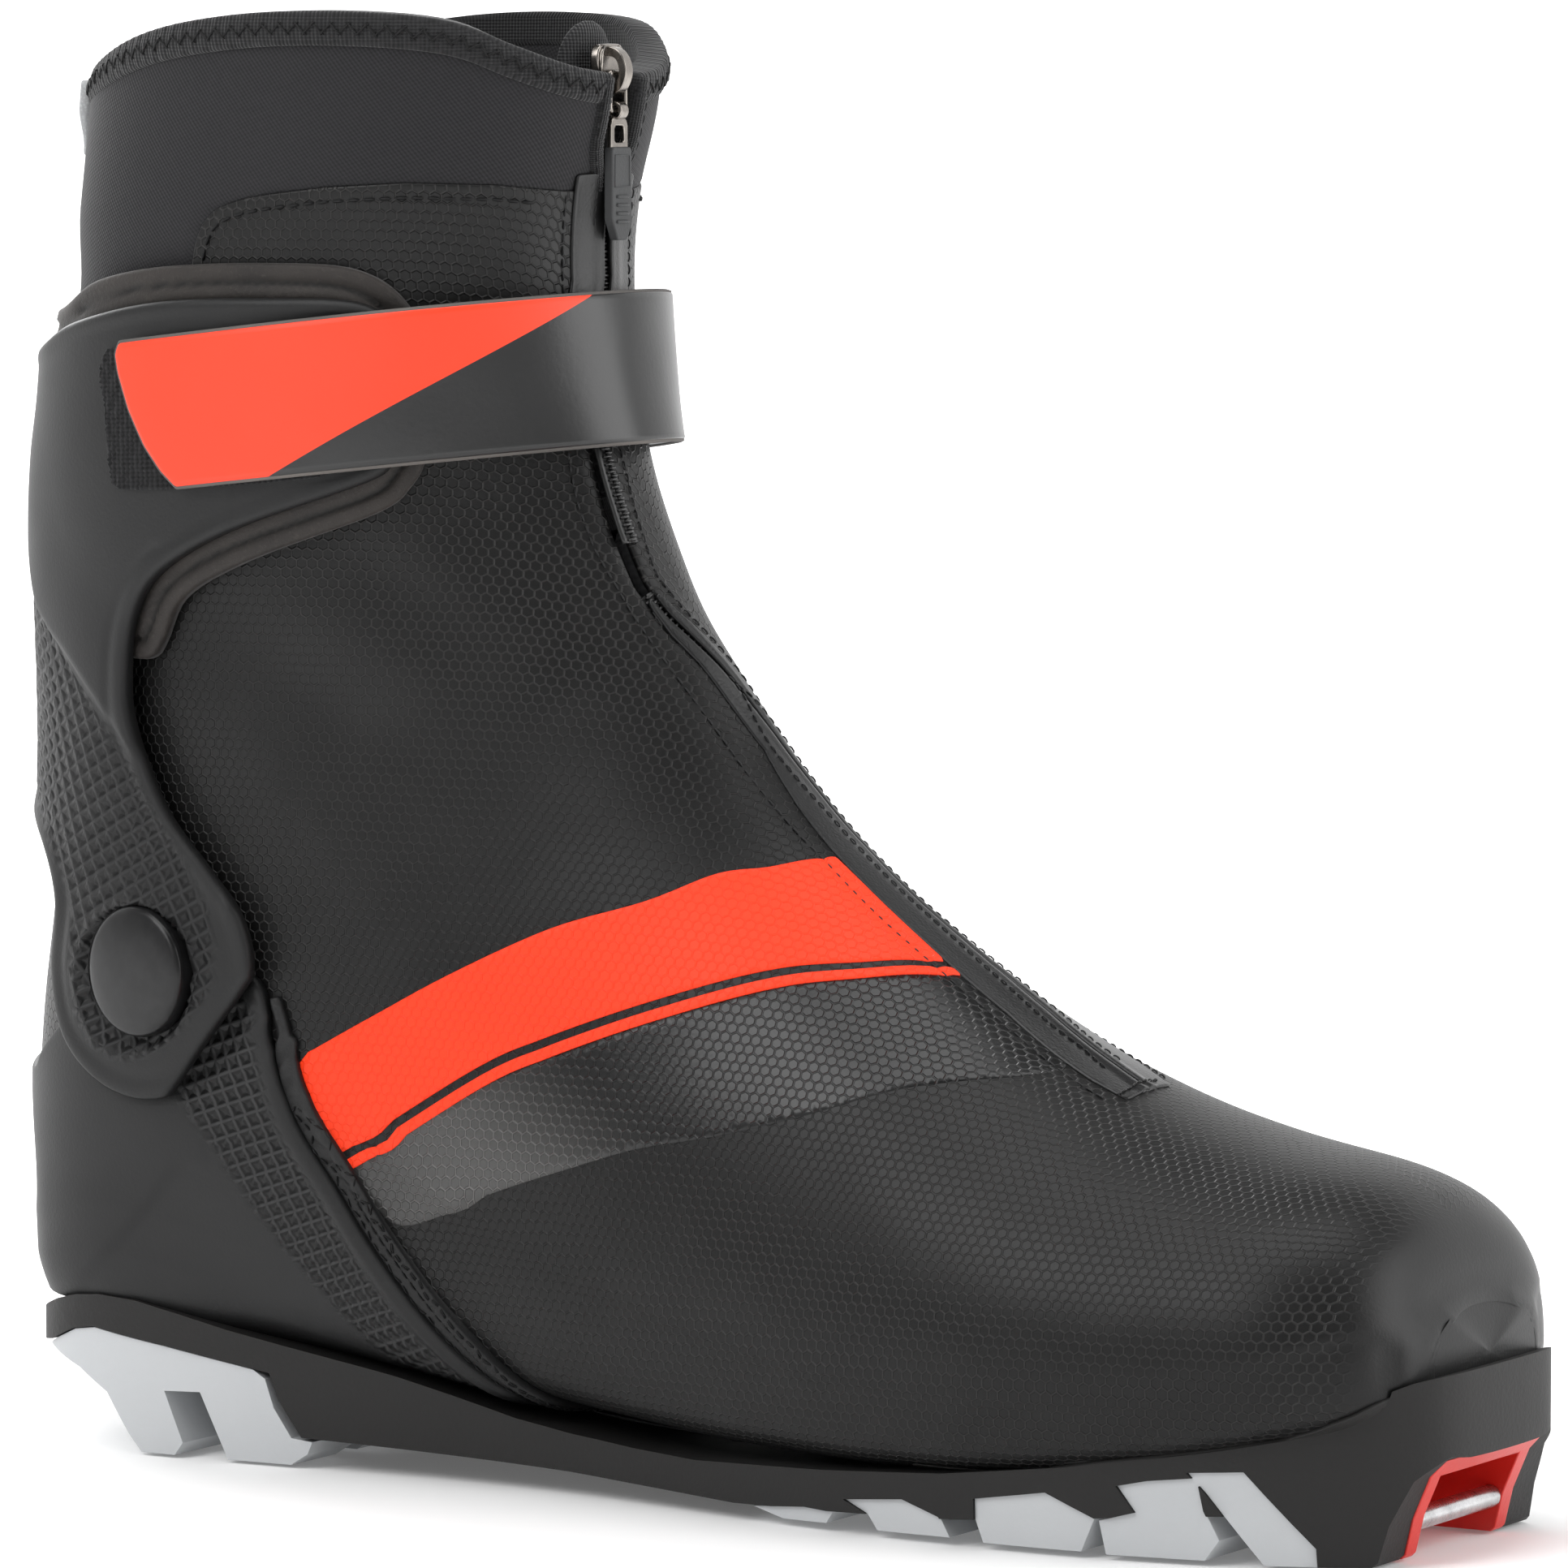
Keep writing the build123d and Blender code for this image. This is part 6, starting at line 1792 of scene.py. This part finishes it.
add(new_object("zipper_upper", V, F, M_COIL), "cuff", "chain_nylon", ("zipper_chain_upper",))


# ------------------------------------------------------------------ slider, link, pull tab
SLX, SLZ = 114.5, 252.3


def outline_solid(name, pts, y0, y1, bevel, mat, axis="y", holes=(), seg=3):
    """Outline in x, z (axis y) or y, z (axis x), drawn to a thickness with rounded rims, holes cut with a boolean."""
    def prism_(pts, a, b, nm):
        m = len(pts); V, F = [], []
        for k, v in enumerate((a, b)):
            for p in pts:
                V.append((p[0], v, p[1]) if axis == "y" else (v, p[0], p[1]))
        F = [tuple(range(m))[::-1], tuple(range(m, 2 * m))] + [(i, (i + 1) % m, m + (i + 1) % m, m + i) for i in range(m)]
        o = new_object(nm, np.array(V), F, mat, smooth=False)
        bm = bmesh.new(); bm.from_mesh(o.data); bmesh.ops.recalc_face_normals(bm, faces=bm.faces); bm.to_mesh(o.data); bm.free()
        return o
    o = prism_(pts, y0, y1, name)
    for h in holes:
        c = prism_(h, y0 - 2, y1 + 2, name + "_cut")
        m_ = o.modifiers.new("b", "BOOLEAN"); m_.object = c; m_.operation = "DIFFERENCE"; m_.solver = "EXACT"
        apply_mods(o)
        ALL.remove(c); bpy.data.objects.remove(c, do_unlink=True)
    b = o.modifiers.new("v", "BEVEL"); b.width = bevel / 1000; b.segments = seg; b.limit_method = "ANGLE"; b.angle_limit = R(28)
    apply_mods(o)
    o.data.polygons.foreach_set("use_smooth", np.ones(len(o.data.polygons), bool))
    w = o.modifiers.new("w", "WEIGHTED_NORMAL"); apply_mods(o)
    return o


def apply_mods(o):
    bpy.context.view_layer.update()
    dg = bpy.context.evaluated_depsgraph_get()
    me = bpy.data.meshes.new_from_object(o.evaluated_get(dg), preserve_all_data_layers=True, depsgraph=dg)
    o.modifiers.clear()
    o.data = me


def at(pts):
    return [(x + SLX, z + SLZ) for x, z in pts]


def arc_pts(cx, cz, r, a0, a1, n):
    return [(cx + r * math.cos(R(a)), cz + r * math.sin(R(a))) for a in np.linspace(a0, a1, n)]


# body plate: shield-like, wider at the top, seen from the front (y, z)
plate = [(-2.6, -4.3), (2.6, -4.3), (3.1, -2.2), (4.3, 0.4), (4.5, 3.0), (3.4, 4.7), (1.2, 4.95), (-1.2, 4.95), (-3.4, 4.7), (-4.5, 3.0), (-4.3, 0.4), (-3.1, -2.2)]
plate = [(y, z + SLZ) for y, z in [tuple(p) for p in smooth_poly(plate, 3)]]
o1 = outline_solid("zip_slider", plate, SLX + 2.65, SLX + 4.35, .5, M_GUN, axis="x")
# bridge: an arched bar over the plate
br = [(4.2, -4.1), (5.6, -4.0), (7.0, -3.2), (7.9, -1.6), (8.2, 0.0), (7.9, 1.7), (7.0, 3.3), (5.6, 4.3), (4.2, 4.5)]
inn = [(4.0, -2.6), (5.5, -2.3), (6.3, -1.5), (6.65, 0), (6.3, 1.6), (5.5, 2.5), (4.0, 2.8)]
o2 = outline_solid("slider_bridge", at([tuple(p) for p in smooth_poly(br, 3, False)]), -1.25, 1.25, .42, M_GUN, holes=[at([tuple(p) for p in smooth_poly(inn, 3, False)])])
# flange ridge along the plate
V, F = tube("", [(SLX + 4.3, -3.6, SLZ - 1.0), (SLX + 4.6, -3.9, SLZ + 1.0), (SLX + 4.6, -3.6, SLZ + 3.4), (SLX + 4.3, -2.4, SLZ + 4.4)], .38, sides=8)
V2, F2 = tube("", [(SLX + 4.3, 3.6, SLZ - 1.0), (SLX + 4.6, 3.9, SLZ + 1.0), (SLX + 4.6, 3.6, SLZ + 3.4), (SLX + 4.3, 2.4, SLZ + 4.4)], .38, sides=8)
o3 = new_object("slider_ribs", *merge([(V, F), (V2, F2)]), M_GUN)
sl = join("zip_slider", [o1, o2, o3])
add(sl, "slider", "slider_gunmetal", ("zip_slider",))

# link: a drawn wire ring
lk = [(SLX + 5.6, 0, SLZ - .2), (SLX + 5.6, 1.9, SLZ - .2), (SLX + 5.6, 2.5, SLZ - .75), (SLX + 5.6, 2.55, SLZ - 3.6), (SLX + 5.6, 2.5, SLZ - 6.4), (SLX + 5.6, 1.9, SLZ - 7.0), (SLX + 5.6, 0, SLZ - 7.0),
      (SLX + 5.6, -1.9, SLZ - 7.0), (SLX + 5.6, -2.5, SLZ - 6.4), (SLX + 5.6, -2.55, SLZ - 3.6), (SLX + 5.6, -2.5, SLZ - .75), (SLX + 5.6, -1.9, SLZ - .2)]
lk = smooth_poly([(p[1], p[2]) for p in lk], 5)
lk = np.stack([np.full(len(lk), SLX + 5.6), lk[:, 0], lk[:, 1]], 1)
V, F = tube("", lk, .52, sides=12, closed=True, normals=np.tile([[1.0, 0, 0]], (len(lk), 1)))
add(new_object("zip_pull_link", V, F, M_GUN), "pull_link", "slider_gunmetal", ("zip_pull_link",))

# pull tab: eye, windowed metal plate, moulded grip
eye = outline_solid("pull_eye", at(arc_pts(5.6, -7.0, 1.7, 0, 360, 29)[:-1]), -1.35, 1.35, .3, M_GUN, holes=[at(arc_pts(5.6, -7.0, 1.0, 0, 360, 21)[:-1])])
pl = [(-1.5, -8.0), (1.5, -8.0), (2.5, -8.7), (2.85, -9.6), (2.85, -14.4), (-2.85, -14.4), (-2.85, -9.6), (-2.5, -8.7)]
wn = [(-1.15, -9.7), (1.15, -9.7), (1.6, -10.2), (1.6, -12.3), (1.15, -12.7), (-1.15, -12.7), (-1.6, -12.3), (-1.6, -10.2)]
plt_ = outline_solid("pull_plate", [(y, z + SLZ) for y, z in pl], SLX + 5.1, SLX + 6.1, .26, M_GUN, axis="x", holes=[[(y, z + SLZ) for y, z in wn]])
met = join("pull_tab_metal", [eye, plt_])
add(met, "pull_tab_grip", "slider_gunmetal")
gp = [(-2.9, -13.5), (2.9, -13.5), (3.3, -14.1), (3.3, -27.2), (2.7, -28.6), (1.8, -30.2), (-1.4, -30.2), (-2.4, -28.2), (-3.3, -26.4), (-3.3, -14.1)]
grip = outline_solid("pull_tab_grip", [(y, z + SLZ) for y, z in gp], SLX + 4.75, SLX + 6.65, .5, M_GRIP, axis="x", seg=4)
# plain raised bars for the fingers, on the front face
bars = []
for k in range(4):
    z = SLZ - 22.4 - k * 1.5
    bars.append(tube("", [(SLX + 6.6, -1.9, z), (SLX + 6.72, -1.5, z), (SLX + 6.72, 1.5, z), (SLX + 6.6, 1.9, z)], .34, sides=6))
V, F = merge(bars)
bar_o = new_object("grip_bars", V, F, M_GRIP)
fr = smooth_poly([(-2.4, -15.0), (2.4, -15.0), (2.5, -20.6), (-2.5, -20.6)], 1)
V, F = tube("", [(SLX + 6.62, y, z + SLZ) for y, z in fr], .22, sides=6, closed=True, normals=np.tile([[1.0, 0, 0]], (len(fr), 1)))
fr_o = new_object("grip_frame", V, F, M_GRIP)
grip = join("pull_tab_grip", [grip, bar_o, fr_o])
add(grip, "pull_tab_grip", "grip_rubber", ("zip_pull_tab",))

# ------------------------------------------------------------------ guard behind the slider
gz, gy = np.linspace(0, 1, 22), np.linspace(-1, 1, 27)
V, F = [], []
for face in (1, -1):
    for u in gz:
        z = 244.4 + u * (261.4 - 244.4)
        half = 8.8 if z < 252.6 else math.sqrt(max(0.02, 8.9 ** 2 - (z - 252.6) ** 2))
        for w in gy:
            y = half * w
            thick = 1.0 * (1 - abs(w) ** 3.5 * .75) * (1 - max(0, (z - 258.5) / 3.2) ** 2 * .7)
            x = 113.95 - .012 * y * y + face * thick + .05 * math.sin(z * 3.3)
            V.append((x, y, z))
m, k = len(gz), len(gy)
for s in range(2):
    b = s * m * k
    for i in range(m - 1):
        for j in range(k - 1):
            q = (b + i * k + j, b + i * k + j + 1, b + (i + 1) * k + j + 1, b + (i + 1) * k + j)
            F.append(q if s == 0 else q[::-1])
rimv = [i * k for i in range(m)] + [(m - 1) * k + j for j in range(1, k)] + [i * k + k - 1 for i in range(m - 2, -1, -1)] + [j for j in range(k - 2, 0, -1)]
for i in range(len(rimv)):
    a, b = rimv[i], rimv[(i + 1) % len(rimv)]
    F.append((a, b, b + m * k, a + m * k))
V = np.array(V)
add(new_object("zip_guard", V, F, M_HEM, uvs=V[:, 1:]), "cuff", "guard_knit", ("zip_guard",))


# ------------------------------------------------------------------ hard parts made from the CAD meshes
def cad_copy(node, mat, bevel=.4, seg=2, angle=32, name=None):
    """The CAD part's own mesh with softened edges."""
    src = frame["nodes"][node]
    me = src.data.copy()
    me.transform(src.matrix_world)
    o = bpy.data.objects.new(name or node + "_moulded", me)
    bpy.context.scene.collection.objects.link(o)
    bm = bmesh.new(); bm.from_mesh(me)
    bmesh.ops.remove_doubles(bm, verts=bm.verts, dist=2e-6)
    bmesh.ops.dissolve_limit(bm, angle_limit=R(1.2), verts=bm.verts, edges=bm.edges)
    for f in bm.faces:
        f.smooth = True
    bm.to_mesh(me); bm.free()
    me.materials.clear(); me.materials.append(mat)
    for a in [a.name for a in me.attributes if a.name in ("custom_normal", "sharp_face", "sharp_edge")]:
        try:
            me.attributes.remove(me.attributes[a])
        except Exception:
            pass
    b = o.modifiers.new("v", "BEVEL"); b.width = bevel / 1000; b.segments = seg; b.limit_method = "ANGLE"; b.angle_limit = R(angle); b.use_clamp_overlap = True
    w = o.modifiers.new("w", "WEIGHTED_NORMAL"); w.keep_sharp = True
    apply_mods(o)
    ALL.append(o)
    return o


rec_slot = {s["node"]: s["material_slot"] for s in frame["record"]["subparts"]}
for node, mat, bv in (("outsole", M_SOLE, .5), ("heel_tread", M_TREAD, .7), ("tread_lateral", M_TREAD, .6), ("tread_centre", M_TREAD, .5), ("tread_medial", M_TREAD, .6), ("toe_insert", M_RED, .5), ("binding_bar", M_STEEL, .3)):
    o = cad_copy(node, mat, bv)
    add(o, "foot", rec_slot[node], (node,))

CADMAT = {"shank": M_SHANK, "insole_board": M_BOARD, "footbed": M_FOOTBED, "heel_counter": M_SHANK, "toe_stiffener": M_SHANK, "pivot_pin_lateral": M_PIN, "pivot_pin_medial": M_PIN, "strap_rivets": M_PIN}
for n_, m_ in CADMAT.items():
    o = frame["nodes"][n_]
    if not o.material_slots:
        o.data.materials.append(m_)
    for s in o.material_slots:
        s.material = m_

# ------------------------------------------------------------------ hand everything to the frame
_a, _b = row((60, 0, 115.0)), row((52.0, 0, 147.0))
A0, B0 = tuple(float(v) for v in _a), tuple(float(v) for v in _b)
for o, body, slot, rep in PIECES:
    if o is None:
        continue
    if body == "blend":
        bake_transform(o, "foot", "cuff", start=A0, end=B0)
    else:
        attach(o, body)
    if rep:
        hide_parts(*rep)

# ------------------------------------------------------------------ studio
def stage_plane():
    me = bpy.data.meshes.new("floor")
    z = -.0006
    n, rad = 8, 6.0
    V = [(math.cos(2 * pi * i / 32) * rad, math.sin(2 * pi * i / 32) * rad, z) for i in range(32)]
    me.from_pydata(V, [], [tuple(range(32))])
    o = bpy.data.objects.new("floor", me)
    bpy.context.scene.collection.objects.link(o)
    s = Mat("floor_pale")
    ob = s.obj()
    g = s.noise(ob, .01, 2)
    s.base(s.mix(g, (.90, .90, .90, 1), (.93, .93, .93, 1)), .8, spec=.1)
    # the floor glows, little near the boot and more further out: painted brightness that keeps the far floor white and
    # adds light from below
    r = s.vmath("LENGTH", s.vmath("MULTIPLY", ob, (1, 1.6, 0)), out=1)
    s.put(s.b.inputs["Emission Color"], s.mix(s.ramp(r, 120, 900), (.10, .10, .10, 1), (.80, .80, .80, 1)))
    s.b.inputs["Emission Strength"].default_value = 1.0
    me.materials.append(s.m)
    return o


def backdrop():
    """A wide lit wall round the set."""
    V, F = [], []
    n = 64
    for i in range(n):
        a = 2 * pi * i / n
        for z in (-.3, 4.2):
            V.append((math.cos(a) * 5.2, math.sin(a) * 5.2, z))
    for i in range(n):
        j = (i + 1) % n
        F.append((2 * i, 2 * i + 1, 2 * j + 1, 2 * j))
    me = bpy.data.meshes.new("backdrop"); me.from_pydata(V, [], F)
    o = bpy.data.objects.new("backdrop", me)
    bpy.context.scene.collection.objects.link(o)
    s = Mat("backdrop_paper")
    ob = s.obj()
    z = s.n("ShaderNodeSeparateXYZ"); s.put(z.inputs[0], ob)
    # bright behind the set, dim in front of it, so that dark surfaces stay dark
    u = s.vmath("DOT_PRODUCT", ob, (-.515 / 5200, .857 / 5200, 0), out=1)
    g = s.noise(ob, .002, 2)
    s.base(s.mix(g, (.5, .5, .5, 1), (.52, .52, .52, 1)), .9, spec=.0)
    s.put(s.b.inputs["Emission Color"], s.mix(s.ramp(u, -.1, .75), (BACK_DIM, BACK_DIM, BACK_DIM, 1), (1, 1, 1, 1)))
    s.b.inputs["Emission Strength"].default_value = 1.0
    me.materials.append(s.m)
    return o


BACK_DIM = .035
stage_plane(); backdrop()
W = bpy.data.worlds.new("studio"); bpy.context.scene.world = W
W.use_nodes = True
nt = W.node_tree; nt.nodes.clear()
bg = nt.nodes.new("ShaderNodeBackground"); bg.inputs["Color"].default_value = (1, 1, 1, 1); bg.inputs["Strength"].default_value = .07
wo = nt.nodes.new("ShaderNodeOutputWorld"); nt.links.new(bg.outputs[0], wo.inputs[0])


def area(name, loc, target, size, power, size_y=None, col=(1, 1, 1)):
    l = bpy.data.lights.new(name, "AREA"); l.energy = power; l.size = size; l.color = col
    if size_y:
        l.shape = "RECTANGLE"; l.size_y = size_y
    o = bpy.data.objects.new(name, l); bpy.context.scene.collection.objects.link(o)
    o.location = loc
    o.rotation_euler = (Vector(target) - Vector(loc)).to_track_quat("-Z", "Y").to_euler()
    return o


# the camera stands outside and a little ahead of the boot
AZ, EL, DIST = R(31), R(4.7), 1600.0
TGT = np.array([155.0, 0.0, 125.5])
back = np.array([math.sin(AZ) * math.cos(EL), -math.cos(AZ) * math.cos(EL), math.sin(EL)])
right = np.array([math.cos(AZ), math.sin(AZ), 0.0])
cam_p, tgt_p = row(TGT + back * DIST), row(TGT)
area("key", row(TGT + back * 700 - right * 900 + np.array([0, 0, 900])), tgt_p, .9, 11.5, .9)
area("top", row(TGT + np.array([40, 0, 1150]) + back * 100), tgt_p, 1.3, 9.5, .7)
area("front", row(TGT + right * 1150 + back * 250 + np.array([0, 0, 380])), tgt_p, .8, 9, 1.1)
area("rim", row(TGT - back * 900 - right * 500 + np.array([0, 0, 700])), tgt_p, .7, 8, .7)

cam = bpy.data.cameras.new("camera")
co = bpy.data.objects.new("camera", cam); bpy.context.scene.collection.objects.link(co)
co.location = tuple(cam_p)
co.rotation_euler = (Vector(tgt_p) - Vector(cam_p)).to_track_quat("-Z", "Y").to_euler()
cam.sensor_width = 36.0; cam.lens = 205.7; cam.clip_start = .05; cam.clip_end = 40
bpy.context.scene.camera = co
bpy.context.scene.view_settings.view_transform = "Standard"
bpy.context.scene.view_settings.look = "None"
bpy.context.scene.view_settings.exposure = 0.0
